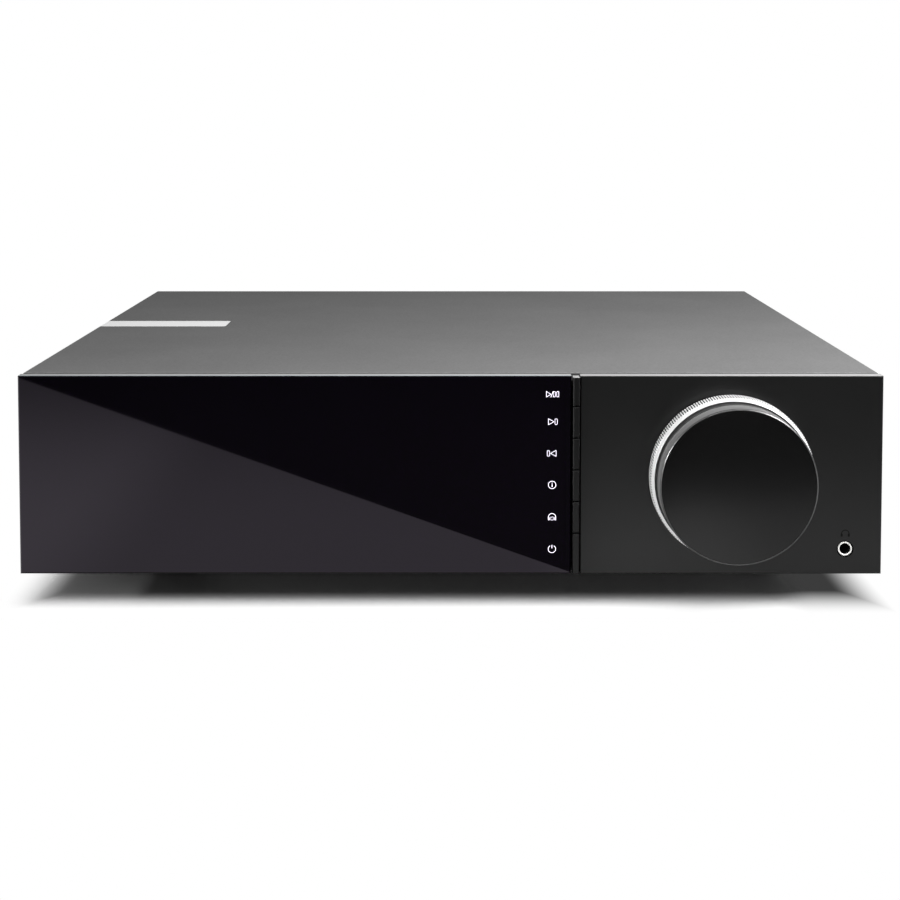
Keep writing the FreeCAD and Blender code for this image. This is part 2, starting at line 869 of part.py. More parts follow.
def rocker_hole():
    half_x = rocker_well_width / 2 + housing_wall
    half_z = rocker_well_half + housing_wall
    return block(rocker_x - half_x, rocker_x + half_x, rear_in_y, rear_out_y,
                 rocker_z - half_z, rocker_z + half_z)


def rocker_housing():
    half_x = rocker_well_width / 2
    half_z = rocker_well_half
    outer_x = half_x + housing_wall
    outer_z = half_z + housing_wall
    mouth_y = rear_out_y + housing_flange_thick
    body = block(rocker_x - outer_x, rocker_x + outer_x, rear_out_y - housing_depth, rear_out_y,
                 rocker_z - outer_z, rocker_z + outer_z)
    flange = block(rocker_x - outer_x - housing_flange, rocker_x + outer_x + housing_flange,
                   rear_out_y, mouth_y,
                   rocker_z - outer_z - housing_flange, rocker_z + outer_z + housing_flange)
    flange = bevel(flange, panel_bevel, edge_lies_at_y(mouth_y))
    well_back = rocker_pivot_y - math.hypot(rocker_half_height, rocker_back) - slide_gap
    well = block(rocker_x - half_x, rocker_x + half_x, well_back, mouth_y, rocker_z - half_z, rocker_z + half_z)
    reach = half_x + rocker_pin_length
    bores = rod_x(rocker_x - reach, rocker_x + reach, rocker_pivot_y, rocker_z, rocker_pin_radius + turn_gap)
    return joined([body, flange]).cut(well).cut(bores)


def power_rocker():
    """A rocker with two faces that meet at its middle. It rests with its upper end pressed in."""
    half = rocker_half_height
    shape = [(-half, rocker_edge_out), (0, rocker_middle), (half, rocker_edge_out), (half, -rocker_back / 2),
             (half / 2, -rocker_back), (-half / 2, -rocker_back), (-half, -rocker_back / 2)]
    left = rocker_x - rocker_width / 2
    points = [V(left, rocker_pivot_y + out, rocker_z + up) for up, out in shape]
    rocker = outline_face(points).extrude(V(rocker_width, 0, 0))
    reach = rocker_width / 2 + rocker_pin_length
    pin = rod_x(rocker_x - reach, rocker_x + reach, rocker_pivot_y, rocker_z, rocker_pin_radius)
    rocker = joined([rocker, pin])
    rocker.rotate(V(rocker_x, rocker_pivot_y, rocker_z), V(1, 0, 0), rocker_tilt)
    return rocker


# Binding posts on one moulded plate

plate_y = rear_out_y + plate_proud
collar_y = plate_y + slide_gap
cap_y = collar_y + collar_thick + slide_gap
cap_end_y = overall_depth / 2
stud_end_y = cap_end_y - stud_end_sunk


def plate_hole(gap, y0, y1):
    half_x = plate_width / 2 - plate_flange + gap
    half_z = plate_height / 2 - plate_flange + gap
    return block(plate_x - half_x, plate_x + half_x, y0, y1, post_z - half_z, post_z + half_z)


def terminal_plate():
    """A moulded plate with a flange outside the rear panel, and a hole for each stud."""
    half_x = plate_width / 2
    half_z = plate_height / 2
    flange = block(plate_x - half_x, plate_x + half_x, rear_out_y, plate_y, post_z - half_z, post_z + half_z)
    flange = bevel(flange, panel_bevel, edge_lies_at_y(plate_y))
    plate = joined([flange, plate_hole(0, rear_out_y - plate_depth, rear_out_y)])
    return plate.cut([rod_y(x, rear_out_y - plate_depth, plate_y, post_z, stud_radius) for x in post_places])


def post_stud(x):
    stud = rod_y(x, rear_in_y - stud_inside, stud_end_y, post_z, stud_radius)
    return stud.cut(rod_y(x, stud_end_y - banana_depth, stud_end_y, post_z, banana_radius))


def post_collar(x):
    """A clamping washer, six-sided outside."""
    collar = hexagon_y(x, post_z, collar_y, collar_y + collar_thick, collar_flats)
    return collar.cut(rod_y(x, collar_y, collar_y + collar_thick, post_z, stud_radius + thread_gap))


def post_cap(x):
    """A moulded cap with a finger grip along its side."""
    cap = star_y(x, post_z, cap_y, cap_end_y, cap_flute_count, cap_radius, cap_radius - cap_flute_depth)
    return cap.cut(rod_y(x, cap_y, cap_end_y, post_z, stud_radius + thread_gap))


# Phono sockets

phono_front_y = rear_out_y + phono_block_proud
phono_block_top = phono_rows[-1] + phono_block_margin


def phono_socket(x, z):
    """A round shell with its insulator, bored for the middle pin of a plug."""
    end_y = rear_out_y + phono_reach
    shell = rod_y(x, phono_front_y, end_y, z, phono_radius)
    return shell.cut(rod_y(x, end_y - phono_bore_depth, end_y, z, phono_bore_radius))


def phono_block():
    """A moulded block on the main board that fills its window in the rear panel."""
    half = phono_block_width / 2
    return block(phono_x - half, phono_x + half, rear_in_y - phono_block_depth, phono_front_y,
                 board_top_z, phono_block_top)


# Optical socket with a flap that swings inwards

optical_front_y = rear_out_y + socket_proud
optical_middle_z = board_top_z + optical_wall + optical_mouth_height / 2
flap_pivot_y = optical_front_y - optical_lip - slide_gap - flap_thick / 2
flap_pivot_z = optical_middle_z - optical_mouth_height / 2 + flap_length


def optical_socket():
    half = optical_width / 2
    body = block(optical_x - half, optical_x + half, optical_front_y - optical_depth, optical_front_y,
                 board_top_z, board_top_z + optical_height)
    well_half = optical_mouth_width / 2 + slide_gap
    well_back = optical_front_y - optical_lip - optical_well_depth
    well = block(optical_x - well_half, optical_x + well_half, well_back, optical_front_y - optical_lip,
                 board_top_z + optical_wall - slide_gap, flap_pivot_z + flap_thick / 2 + slide_gap)
    mouth_half = optical_mouth_width / 2 - slide_gap
    mouth = block(optical_x - mouth_half, optical_x + mouth_half, optical_front_y - optical_lip,
                  optical_front_y, board_top_z + optical_wall,
                  board_top_z + optical_wall + optical_mouth_height - slide_gap)
    reach = well_half + flap_pin_length
    bores = rod_x(optical_x - reach, optical_x + reach, flap_pivot_y, flap_pivot_z, flap_pin_radius + turn_gap)
    return body.cut(well).cut(mouth).cut(bores)


def optical_flap():
    half = optical_mouth_width / 2
    flap = block(optical_x - half, optical_x + half, flap_pivot_y - flap_thick / 2,
                 flap_pivot_y + flap_thick / 2, flap_pivot_z - flap_length + slide_gap, flap_pivot_z)
    reach = half + flap_pin_length
    pins = rod_x(optical_x - reach, optical_x + reach, flap_pivot_y, flap_pivot_z, flap_pin_radius)
    return joined([flap, pins])


# Digital sockets


def hdmi_outline(shrink):
    """Half-width and half-height, cut at the two lower corners, as the plug is."""
    half_x = hdmi_width / 2 - shrink
    half_z = hdmi_height / 2 - shrink
    cut = hdmi_corner
    return [(-half_x, half_z), (half_x, half_z), (half_x, cut - half_z), (half_x - cut, -half_z),
            (cut - half_x, -half_z), (-half_x, cut - half_z)]


def hdmi_socket():
    front = rear_out_y + socket_proud
    back = front - hdmi_depth
    middle_z = board_top_z + hdmi_height / 2
    outer = outline_face([V(hdmi_x + x, back, middle_z + z) for x, z in hdmi_outline(0)])
    inner = outline_face([V(hdmi_x + x, back + hdmi_wall, middle_z + z) for x, z in hdmi_outline(hdmi_wall)])
    shell = outer.extrude(V(0, hdmi_depth, 0)).cut(inner.extrude(V(0, hdmi_depth, 0)))
    half = hdmi_tongue_width / 2
    tongue = block(hdmi_x - half, hdmi_x + half, back, front - socket_proud - rear_thick,
                   middle_z - hdmi_tongue_thick / 2, middle_z + hdmi_tongue_thick / 2)
    return joined([shell, tongue])


def usb_socket():
    front = rear_out_y + socket_proud
    back = front - usb_depth
    top = board_top_z + usb_height
    half = usb_width / 2
    shell = block(usb_x - half, usb_x + half, back, front, board_top_z, top)
    shell = shell.cut(block(usb_x - half + usb_wall, usb_x + half - usb_wall, back + usb_wall, front,
                            board_top_z + usb_wall, top - usb_wall))
    half = usb_tongue_width / 2
    tongue = block(usb_x - half, usb_x + half, back, front - socket_proud - rear_thick,
                   top - usb_wall - usb_tongue_thick, top - usb_wall)
    return joined([shell, tongue])


def network_socket():
    front = rear_out_y + socket_proud
    half = network_width / 2
    body = block(network_x - half, network_x + half, front - network_depth, front,
                 board_top_z, board_top_z + network_height)
    low = board_top_z + network_mouth_up
    half = network_mouth_width / 2
    mouth = block(network_x - half, network_x + half, front - network_mouth_depth, front,
                  low, low + network_mouth_height)
    half = network_notch_width / 2
    notch = block(network_x - half, network_x + half, front - network_mouth_depth, front,
                  low - network_notch_height, low)
    return body.cut(joined([mouth, notch]))


def aerial_socket(x):
    """A threaded barrel through the rear panel, with a six-sided flange outside."""
    barrel = rod_y(x, rear_in_y - aerial_inside, rear_out_y + aerial_reach, aerial_z, aerial_radius)
    return joined([barrel, hexagon_y(x, aerial_z, rear_out_y, rear_out_y + aerial_nut_thick, aerial_flats)])


# Boards inside


def board(place):
    left, right, front, back = place
    return block(left, right, front, back, board_z, board_top_z)


def on_board(x, y, width, depth, height):
    return block(x - width / 2, x + width / 2, y - depth / 2, y + depth / 2,
                 board_top_z, board_top_z + height)


def main_board():
    middle_x = (main_left + main_right) / 2
    chips = [on_board(middle_x + step * main_chip_spacing, main_front + main_chip_inset,
                      main_chip_size, main_chip_size, chip_height) for step in (-1, 0, 1)]
    return joined([board(board_places[0])] + chips)


def streaming_module():
    """A small upright card with a screening can, in an edge connector on the main board."""
    x = network_x - module_width / 2
    y = main_back - module_back_gap
    half = module_width / 2
    card = block(x - half, x + half, y, y + board_thick, board_top_z, board_top_z + module_height)
    can = block(x - half / 2, x + half / 2, y + board_thick, y + board_thick + chip_height,
                board_top_z + chip_height, board_top_z + module_height - chip_height)
    return joined([card, can])


def power_supply():
    """The supply board with its transformer in front and two box capacitors at the back."""
    x = (supply_left + supply_right) / 2
    transformer = on_board(x, supply_front + supply_margin + transformer_depth / 2,
                           transformer_width, transformer_depth, transformer_height)
    capacitors = [on_board(x + side * capacitor_spacing / 2, supply_back - supply_margin - capacitor_size / 2,
                           capacitor_size, capacitor_size, capacitor_height) for side in (-1, 1)]
    return joined([board(board_places[1]), transformer] + capacitors)


def amplifier_board():
    x = (amp_left + amp_right) / 2
    pair = (x - amp_pair_spacing / 2, x + amp_pair_spacing / 2)
    chips = [on_board(place, (amp_front + amp_back) / 2, amp_chip_width, amp_chip_depth, chip_height)
             for place in pair]
    coils = [on_board(place, amp_back - coil_inset, coil_size, coil_size, coil_height) for place in pair]
    return joined([board(board_places[2])] + chips + coils)


def heatsink():
    """An extruded sink with upright fins along Y, pressed on the amplifier chips."""
    x0 = amp_left + sink_side_gap
    x1 = amp_right - sink_side_gap
    y0 = amp_front + sink_front_gap
    y1 = amp_back - sink_back_gap
    z0 = board_top_z + chip_height
    parts = [block(x0, x1, y0, y1, z0, z0 + sink_base)]
    for step in range(sink_fin_count):
        x = x0 + (x1 - x0 - sink_fin) * step / (sink_fin_count - 1)
        parts.append(block(x, x + sink_fin, y0, y1, z0, z0 + sink_height))
    return joined(parts)


save("display_glass", display_glass())
save("display_panel", display_panel())
save("front_frame", front_frame())
save("control_panel", control_panel())
for number, name in enumerate(key_names):
    save(name, key(number))
save("key_guide", key_guide())
save("key_board", key_board())
save("key_switches", *[key_switch(number) for number in range(len(key_names))])
save("dial_ring", dial_ring())
save("ring_shaft", ring_shaft())
save("dial_body", dial_body())
save("dial_face", dial_face())
save("dial_shaft", dial_shaft())
save("encoder_body", encoder_body())
save("headphone_sleeve", headphone_sleeve())
save("headphone_socket", headphone_socket())
save("base_plate", base_plate())
save("side_rails", side_rail(-1), side_rail(1))
save("board_pillars", *[hexagon_z(x, y, floor_z, board_z, pillar_flats) for x, y in pillar_places()])
save("top_cover", top_cover())
save("badge_strip", badge_strip())
save("rear_panel", rear_panel())
for name, side in (("left", -1), ("right", 1)):
    save(f"side_panel_{name}", side_panel(side))
    save(f"magnets_{name}", *side_magnets(side))
save("feet", *[foot(x, y) for x, y in foot_places()])
save("foot_pads", *[foot_pad(x, y) for x, y in foot_places()])
save("mains_inlet", mains_inlet())
save("inlet_pins", *inlet_pins())
save("rocker_housing", rocker_housing())
save("power_rocker", power_rocker())
save("terminal_plate", terminal_plate())
save("post_studs", *[post_stud(x) for x in post_places])
for name, x in zip(post_names, post_places):
    save(f"collar_{name}", post_collar(x))
    save(f"cap_{name}", post_cap(x))
save("phono_sockets", *[phono_socket(x, z) for x in phono_places for z in phono_rows])
save("phono_block", phono_block())
save("optical_socket", optical_socket())
save("optical_flap", optical_flap())
save("hdmi_socket", hdmi_socket())
save("usb_socket", usb_socket())
save("network_socket", network_socket())
save("aerial_sockets", *[aerial_socket(x) for x in aerial_places])
save("main_board", main_board())
save("streaming_module", streaming_module())
save("power_supply", power_supply())
save("amplifier_board", amplifier_board())
save("heatsink", heatsink())
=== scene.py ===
import math
import bpy
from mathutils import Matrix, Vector


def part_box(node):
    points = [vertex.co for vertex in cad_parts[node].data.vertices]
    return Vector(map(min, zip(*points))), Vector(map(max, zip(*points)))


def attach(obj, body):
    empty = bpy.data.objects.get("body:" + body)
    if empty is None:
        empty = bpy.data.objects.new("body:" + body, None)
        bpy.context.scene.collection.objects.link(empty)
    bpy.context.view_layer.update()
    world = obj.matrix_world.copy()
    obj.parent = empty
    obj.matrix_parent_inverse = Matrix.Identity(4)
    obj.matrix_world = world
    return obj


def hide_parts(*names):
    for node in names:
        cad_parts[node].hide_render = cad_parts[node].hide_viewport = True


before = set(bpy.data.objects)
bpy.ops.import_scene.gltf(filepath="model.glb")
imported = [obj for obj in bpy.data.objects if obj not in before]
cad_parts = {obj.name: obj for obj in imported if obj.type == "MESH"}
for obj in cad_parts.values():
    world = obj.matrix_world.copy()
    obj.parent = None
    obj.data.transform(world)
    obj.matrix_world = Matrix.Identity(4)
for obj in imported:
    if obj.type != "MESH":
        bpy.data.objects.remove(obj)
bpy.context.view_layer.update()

mm = 0.001

# Camera. It looks at the middle of the front from a little above the top cover, about 0.65 m away,
# and its shift lifts the amplifier to the middle of the picture without leaning its upright edges.
degrees_down = 3.561
bpy.ops.object.camera_add(location=(0.0005, -0.81309, 0.18535),
                          rotation=(math.radians(90 - degrees_down), 0, 0))
camera = bpy.context.object
camera.data.lens = 72.57
camera.data.sensor_width = 36
camera.data.shift_x = -0.00214
camera.data.shift_y = -0.25
bpy.context.scene.camera = camera
bpy.context.scene.view_settings.view_transform = "Standard"


# Studio floor. A white sweep that stays plain daylight white away from the amplifier and takes a real shadow
# close round it. A painted white glow makes that shadow run out to white at both ends and in front, and under
# the right end the floor is painted black as a painted shadow. To gloss the floor is a painted reflection:
# painted dark close round the amplifier, and beyond that a glow that is white near the front and darker
# further out.
class Wire:
    """One value that runs through the nodes of a finish. Sums on it add Math nodes."""

    def __init__(self, finish, socket):
        self.finish = finish
        self.socket = socket

    def __add__(self, other):
        return self.finish.maths("ADD", self, other)

    def __radd__(self, other):
        return self.finish.maths("ADD", other, self)

    def __sub__(self, other):
        return self.finish.maths("SUBTRACT", self, other)

    def __rsub__(self, other):
        return self.finish.maths("SUBTRACT", other, self)

    def __mul__(self, other):
        return self.finish.maths("MULTIPLY", self, other)

    def __rmul__(self, other):
        return self.finish.maths("MULTIPLY", other, self)

    def __gt__(self, other):
        return self.finish.maths("GREATER_THAN", self, other)

    def __lt__(self, other):
        return self.finish.maths("LESS_THAN", self, other)


class Finish:
    """A material for one finish of the amplifier. Its patterns lie on the piece's own coordinates."""

    def __init__(self, name):
        self.material = bpy.data.materials.new(name)
        self.material.use_nodes = True
        self.tree = self.material.node_tree
        self.tree.nodes.clear()
        self.place = self.node("ShaderNodeTexCoord", output="Object")

    def node(self, kind, settings={}, inputs={}, output=0):
        """Adds one node, sets it, and gives the values or links of its inputs."""
        made = self.tree.nodes.new(kind)
        for name, value in settings.items():
            setattr(made, name, value)
        for name, value in inputs.items():
            if isinstance(value, Wire):
                self.tree.links.new(value.socket, made.inputs[name])
            else:
                made.inputs[name].default_value = value
        return Wire(self, made.outputs[output])

    def maths(self, operation, *values):
        return self.node("ShaderNodeMath", {"operation": operation}, dict(enumerate(values)))

    def along(self, direction):
        """The distance along X, Y or Z in the piece's own coordinates."""
        return self.node("ShaderNodeSeparateXYZ", {}, {"Vector": self.place}, direction)

    def grain(self, size, detail=2.0, place=None):
        """Blotches between 0 and 1 that are about this many metres across."""
        return self.node("ShaderNodeTexNoise", {}, {
            "Vector": place or self.place, "Scale": 1 / size, "Detail": detail, "Roughness": 0.55}, "Fac")

    def eased(self, value, low, high, first=0.0, last=1.0):
        """Runs smoothly from the first to the last number while the value goes from low to high."""
        return self.node("ShaderNodeMapRange", {"interpolation_type": "SMOOTHSTEP"}, {
            "Value": value, "From Min": low, "From Max": high, "To Min": first, "To Max": last})

    def mixed(self, share, first, second):
        return self.node("ShaderNodeMix", {"data_type": "RGBA"}, {0: share, 6: first, 7: second}, 2)

    def bumped(self, height, depth):
        return self.node("ShaderNodeBump", {}, {
            "Strength": 1.0, "Distance": depth, "Height": height}, "Normal")

    def ended(self, surface):
        """Ends the finish in this surface and gives its material back."""
        output = self.tree.nodes.new("ShaderNodeOutputMaterial")
        self.tree.links.new(surface.socket, output.inputs["Surface"])
        return self.material

    def coated(self, inputs):
        """Ends the finish in one Principled shader with these inputs."""
        return self.ended(self.node("ShaderNodeBsdfPrincipled", {}, inputs))


def tone(red, green=None, blue=None):
    """A colour from its 8-bit levels. One level alone makes a grey."""
    levels = (red, red if green is None else green, red if blue is None else blue)
    parts = [level / 255 for level in levels]
    return tuple(part / 12.92 if part <= 0.04045 else ((part + 0.055) / 1.055) ** 2.4
                 for part in parts) + (1,)


def grey(strength):
    """A neutral colour of this strength, which may be more than white."""
    return (strength, strength, strength, 1)


# The case over the floor: half its width and depth, and the middle of its depth
half_width = 0.1585
half_depth = 0.1575
middle_y = 0.0035

floor_finish = Finish("floor_white")
to_camera = floor_finish.node("ShaderNodeLightPath", output="Is Camera Ray")
to_gloss = floor_finish.node("ShaderNodeLightPath", output="Is Glossy Ray")
sideways = floor_finish.along("X")
backward = floor_finish.along("Y")
from_middle_x = floor_finish.maths("ABSOLUTE", sideways)
from_middle_y = floor_finish.maths("ABSOLUTE", backward - middle_y)
outside = floor_finish.maths("MAXIMUM", from_middle_x - half_width, from_middle_y - half_depth)

# To the camera, a painted white glow fades the real shadow out past the left end, past the right end and in
# front
left_reach = floor_finish.eased(backward, -0.02, 0.12, 0.012, 0.07)
painted_fade_left = floor_finish.eased(-half_width - sideways, -0.010, left_reach)
right_end_painted_shadow = floor_finish.eased(sideways, 0.122, 0.140)
painted_fade_right = floor_finish.eased(sideways - half_width, -0.010, 0.010) + right_end_painted_shadow * 0.045
painted_fade_front = floor_finish.eased(from_middle_y + right_end_painted_shadow * 0.006 - half_depth, -0.034, 0.004)
painted_fade = floor_finish.maths("MAXIMUM", painted_fade_left + painted_fade_right, painted_fade_front)
# The paper is 0.8 to bounced light and twice white to the camera, but towards the right end it turns black to
# the camera, a painted shadow under the right end
paper_and_painted_shadow = floor_finish.mixed(to_camera, grey(0.8), floor_finish.mixed(right_end_painted_shadow, grey(2.0), grey(0.0)))
# To gloss the floor's own colour is a dark 0.12, a painted dark reflection close round the amplifier
lit = floor_finish.node("ShaderNodeBsdfDiffuse", {}, {
    "Color": floor_finish.mixed(to_gloss, paper_and_painted_shadow, grey(0.12))})

# To gloss, the glow is a painted reflection, which weakens further out and changes from left to right
painted_reflection_strength = floor_finish.eased(backward, -0.80, -0.25, 0.35, 0.95) * (
    floor_finish.eased(sideways, -0.185, -0.125, 1.0, 0.70)
    + floor_finish.eased(sideways, 0.03, 0.06, 0.0, 0.30)
    - floor_finish.eased(sideways, 0.09, 0.15, 0.0, 0.35))
glow = floor_finish.node("ShaderNodeEmission", {}, {
    "Color": grey(1.0), "Strength": 1 - to_gloss * (1 - painted_reflection_strength)})
# Share of glow: to the camera the painted fade, to gloss none within 35 mm of the case and all of it past 58
# mm, a painted reflection
backdrop_and_painted_glow = to_camera * painted_fade + to_gloss * floor_finish.eased(outside, 0.035, 0.058)
floor_surface = floor_finish.node("ShaderNodeMixShader", {}, {0: backdrop_and_painted_glow, 1: lit, 2: glow})
bpy.ops.object.select_all(action="DESELECT")
bpy.ops.mesh.primitive_plane_add(size=8, location=(0, 0, 0))
floor = bpy.context.object
floor.name = "floor"
floor.data.materials.append(floor_finish.ended(floor_surface))


# Painted dark reflections. Black sheets that only reflections see, set like a studio's flags in front of
# glass: one flat on the floor whose edge draws the diagonal in the display glass, and one upright behind the
# camera.
painted_reflection_finish = Finish("painted_reflection_black")
painted_reflection_cloth = painted_reflection_finish.coated({"Base Color": tone(8), "Roughness": 0.9,
                                 "Normal": painted_reflection_finish.bumped(painted_reflection_finish.grain(0.002), 0.0002)})


def only_in_reflections(card):
    card.visible_camera = False
    card.visible_diffuse = False
    card.visible_shadow = False
    card.visible_transmission = False
    card.data.materials.append(painted_reflection_cloth)


painted_reflection_height = 0.0006


def painted_reflection_on_floor(name, corners):
    bpy.ops.mesh.primitive_plane_add(size=1, location=(0, 0, 0))
    card = bpy.context.object
    card.name = name
    for vertex, (x, y) in zip(card.data.vertices, corners):
        vertex.co = (x, y, painted_reflection_height)
    only_in_reflections(card)


painted_reflection_on_floor("glass_reflection_sheet", [(0.048, -0.215), (0.0615, -0.360), (-0.955, -1.75), (0.191, -1.75)])
painted_reflection_on_floor("panel_reflection_sheet", [(0.0615, -0.360), (1.6, -0.360), (0.191, -1.75), (1.6, -1.75)])

bpy.ops.mesh.primitive_plane_add(size=1, location=(0.3, -1.3, 0.75), rotation=(math.radians(90), 0, 0))
standing_reflection_sheet = bpy.context.object
standing_reflection_sheet.name = "standing_reflection_sheet"
standing_reflection_sheet.scale = (2.4, 1.5, 1)
only_in_reflections(standing_reflection_sheet)


# Studio light. A faint white surround, one broad key lamp from high in front, and three small softboxes:
# one over the right front corner, which shades the cover from right to left, a narrow beam from the left
# for the dial, and a low one behind for the sockets, too low to shine in the cover.
world = bpy.data.worlds.new("studio")
bpy.context.scene.world = world
world.use_nodes = True
world.node_tree.nodes.clear()


def world_node(kind, inputs):
    made = world.node_tree.nodes.new(kind)
    for name, value in inputs.items():
        if isinstance(value, bpy.types.NodeSocket):
            world.node_tree.links.new(value, made.inputs[name])
        else:
            made.inputs[name].default_value = value
    return made


surround = world_node("ShaderNodeBackground", {"Color": grey(1.0), "Strength": 0.09})
backdrop = world_node("ShaderNodeBackground", {"Color": grey(1.0), "Strength": 1.0})
camera_rays = world_node("ShaderNodeLightPath", {}).outputs["Is Camera Ray"]
both = world_node("ShaderNodeMixShader", {0: camera_rays, 1: surround.outputs[0], 2: backdrop.outputs[0]})
world_node("ShaderNodeOutputWorld", {"Surface": both.outputs[0]})


def softbox(name, location, target, width, height, watts):
    """A soft lamp that shines at a point and that the camera doesn't see."""
    bpy.ops.object.light_add(type="AREA", location=location)
    lamp = bpy.context.object
    lamp.name = name
    lamp.data.shape = "RECTANGLE"
    lamp.data.size = width
    lamp.data.size_y = height
    lamp.data.energy = watts
    lamp.rotation_euler = (Vector(target) - lamp.location).to_track_quat("-Z", "Y").to_euler()
    lamp.visible_camera = False
    return lamp


softbox("key_softbox", (0.22, -0.92, 0.82), (0.03, -0.08, 0.04), 0.9, 0.55, 10.5)
softbox("right_softbox", (0.46, -0.24, 0.47), (0.05, -0.02, 0.089), 0.22, 0.22, 6.0)
narrow_beam = softbox("left_softbox", (-0.75, -0.42, 0.34), (0.12, -0.16, 0.06), 0.16, 0.16, 0.09)
narrow_beam.data.spread = math.radians(17)
softbox("rear_softbox", (-0.40, 1.05, 0.045), (0.0, 0.16, 0.045), 0.7, 0.07, 2.5)


# Display glass. A 2.2 mm plate with a ground edge, printed black on its back and polished in front,
# glued to the moulded frame. Behind it sit the display module and the frame itself.
def dress(finish, *nodes):
    """Gives CAD pieces their finish."""
    for node in nodes:
        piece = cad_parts[node]
        if not piece.material_slots:
            piece.data.materials.append(finish)
        for holder in piece.material_slots:
            holder.material = finish


# Above this height lie the upper edges of the glass, the frame and the control panel, which are painted light
# grey as a painted highlight
upper_edge = 0.08895

glass = Finish("glass_black")
wiped = glass.grain(0.03, 4.0)
# The ground upper edge is rougher, and its light grey colour is a painted highlight on the top
ground_edge_and_highlight = glass.along("Z") > upper_edge
printed_black = glass.mixed(wiped, tone(1, 0, 2), tone(2, 1, 4))
dress(glass.coated({
    "Base Color": glass.mixed(ground_edge_and_highlight, printed_black, tone(150, 156, 158)),
    "Roughness": 0.012 + wiped * 0.02 + ground_edge_and_highlight * 0.35,
    "Specular Tint": (0.94, 0.84, 1.0, 1),
    "IOR": 1.53}), "display_glass")

display = Finish("display_black")
rows = display.node("ShaderNodeTexWave", {"bands_direction": "Z"}, {
    "Vector": display.place, "Scale": 1600.0}, "Fac")
dress(display.coated({
    "Base Color": display.mixed(rows, tone(9, 9, 12), tone(16, 16, 20)),
    "Roughness": 0.25 + rows * 0.1}), "display_panel")

moulded = Finish("frame_black")
moulded_grain = moulded.grain(0.0006, 3.0)
# The frame's top face is painted light grey, a painted highlight
frame_top_highlight = moulded.along("Z") > upper_edge
dress(moulded.coated({
    "Base Color": moulded.mixed(frame_top_highlight, moulded.mixed(moulded_grain, tone(20), tone(27)), tone(160)),
    "Roughness": 0.5 + moulded_grain * 0.12 - frame_top_highlight * 0.2,
    "Normal": moulded.bumped(moulded_grain, 0.00004)}), "front_frame")


# Lit symbols beside the keys. Each is a hair-thin opening in the print behind the glass, lit white from
# behind: play and pause, next, previous, information, headphone output and power.
glass_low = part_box("display_glass")[0]
bottom_z = glass_low.z
symbol_x = 0.0373
symbol_y = glass_low.y
symbol_depth = 0.02 * mm
symbol_line = 0.15 * mm
symbol_up = {"play_pause": 66.65, "next": 56.5, "previous": 44.8,
             "info": 33.1, "output": 21.15, "power": 9.25}

lit_print = Finish("symbol_white")
uneven = lit_print.grain(0.0007)
symbol_finish = lit_print.coated({
    "Base Color": tone(225, 220, 235),
    "Roughness": 0.35,
    "Emission Color": lit_print.mixed(uneven, tone(250, 246, 255), tone(226, 214, 240)),
    "Emission Strength": 1.25})


def chosen(piece):
    """Makes this the one piece that the operators act on."""
    bpy.ops.object.select_all(action="DESELECT")
    bpy.context.view_layer.objects.active = piece
    piece.select_set(True)


def settled(piece, name):
    """Puts the piece's place into its mesh, so that the object ends at the origin, and names both."""
    bpy.ops.object.transform_apply(location=True, rotation=True, scale=True)
    piece.name = name
    piece.data.name = name
    return piece


def joined_as(name, parts):
    """Joins the parts into one mesh."""
    chosen(parts[0])
    for part in parts:
        part.select_set(True)
    if len(parts) > 1:
        bpy.ops.object.join()
    return settled(bpy.context.object, name)


def flat_shape(corners, width, height, x, z, turn=0.0, rounding=0.0, line=0.0, y=None, thick=None):
    """A thin shape on the front. Three corners make an arrow, four a bar, more a disc.
    A line of some width leaves only its rim."""
    y = symbol_y if y is None else y
    thick = symbol_depth if thick is None else thick
    spin_in_plane = math.radians(45) if corners == 4 else 0.0
    bpy.ops.object.select_all(action="DESELECT")
    bpy.ops.mesh.primitive_circle_add(vertices=corners, radius=1, fill_type="NGON",
                                      location=(0, 0, 0), rotation=(0, 0, spin_in_plane))
    part = bpy.context.object
    bpy.ops.object.transform_apply(location=False, rotation=True, scale=True)
    reach = [max(abs(vertex.co[axis]) for vertex in part.data.vertices) for axis in (0, 1)]
    bpy.ops.object.mode_set(mode="EDIT")
    bpy.ops.mesh.select_all(action="SELECT")
    bpy.ops.transform.resize(value=(width / 2 / reach[0], height / 2 / reach[1], 1),
                             center_override=(0, 0, 0))
    if rounding:
        bpy.ops.mesh.bevel(affect="VERTICES", offset=rounding, segments=3)
    bpy.ops.mesh.select_all(action="SELECT")
    if line:
        bpy.ops.mesh.inset(thickness=line, depth=0)
        bpy.ops.mesh.delete(type="FACE")
    bpy.ops.mesh.select_all(action="SELECT")
    bpy.ops.mesh.extrude_region_move(TRANSFORM_OT_translate={"value": (0, 0, thick)})
    bpy.ops.mesh.select_all(action="SELECT")
    bpy.ops.mesh.normals_make_consistent(inside=False)
    bpy.ops.object.mode_set(mode="OBJECT")
    part.rotation_euler = (math.radians(90), -turn, 0)
    part.location = (x, y, z)
    return part


def arrow(x, z, width, height, turn):
    """A hollow arrowhead. It points right unless it is turned."""
    return flat_shape(3, height, width, x, z, turn=turn + math.radians(-90), rounding=0.12 * mm,
                      line=symbol_line)


def kept_above(part, z):
    """Cuts off what a flat shape has below this height."""
    chosen(part)
    bpy.ops.object.mode_set(mode="EDIT")
    bpy.ops.mesh.select_all(action="SELECT")
    bpy.ops.mesh.bisect(plane_co=(0, 0, z), plane_no=(0, 0, 1), clear_inner=True, use_fill=True)
    bpy.ops.object.mode_set(mode="OBJECT")


def placed_symbol(name, parts):
    piece = joined_as(name, parts)
    piece.data.materials.append(symbol_finish)
    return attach(piece, "case")


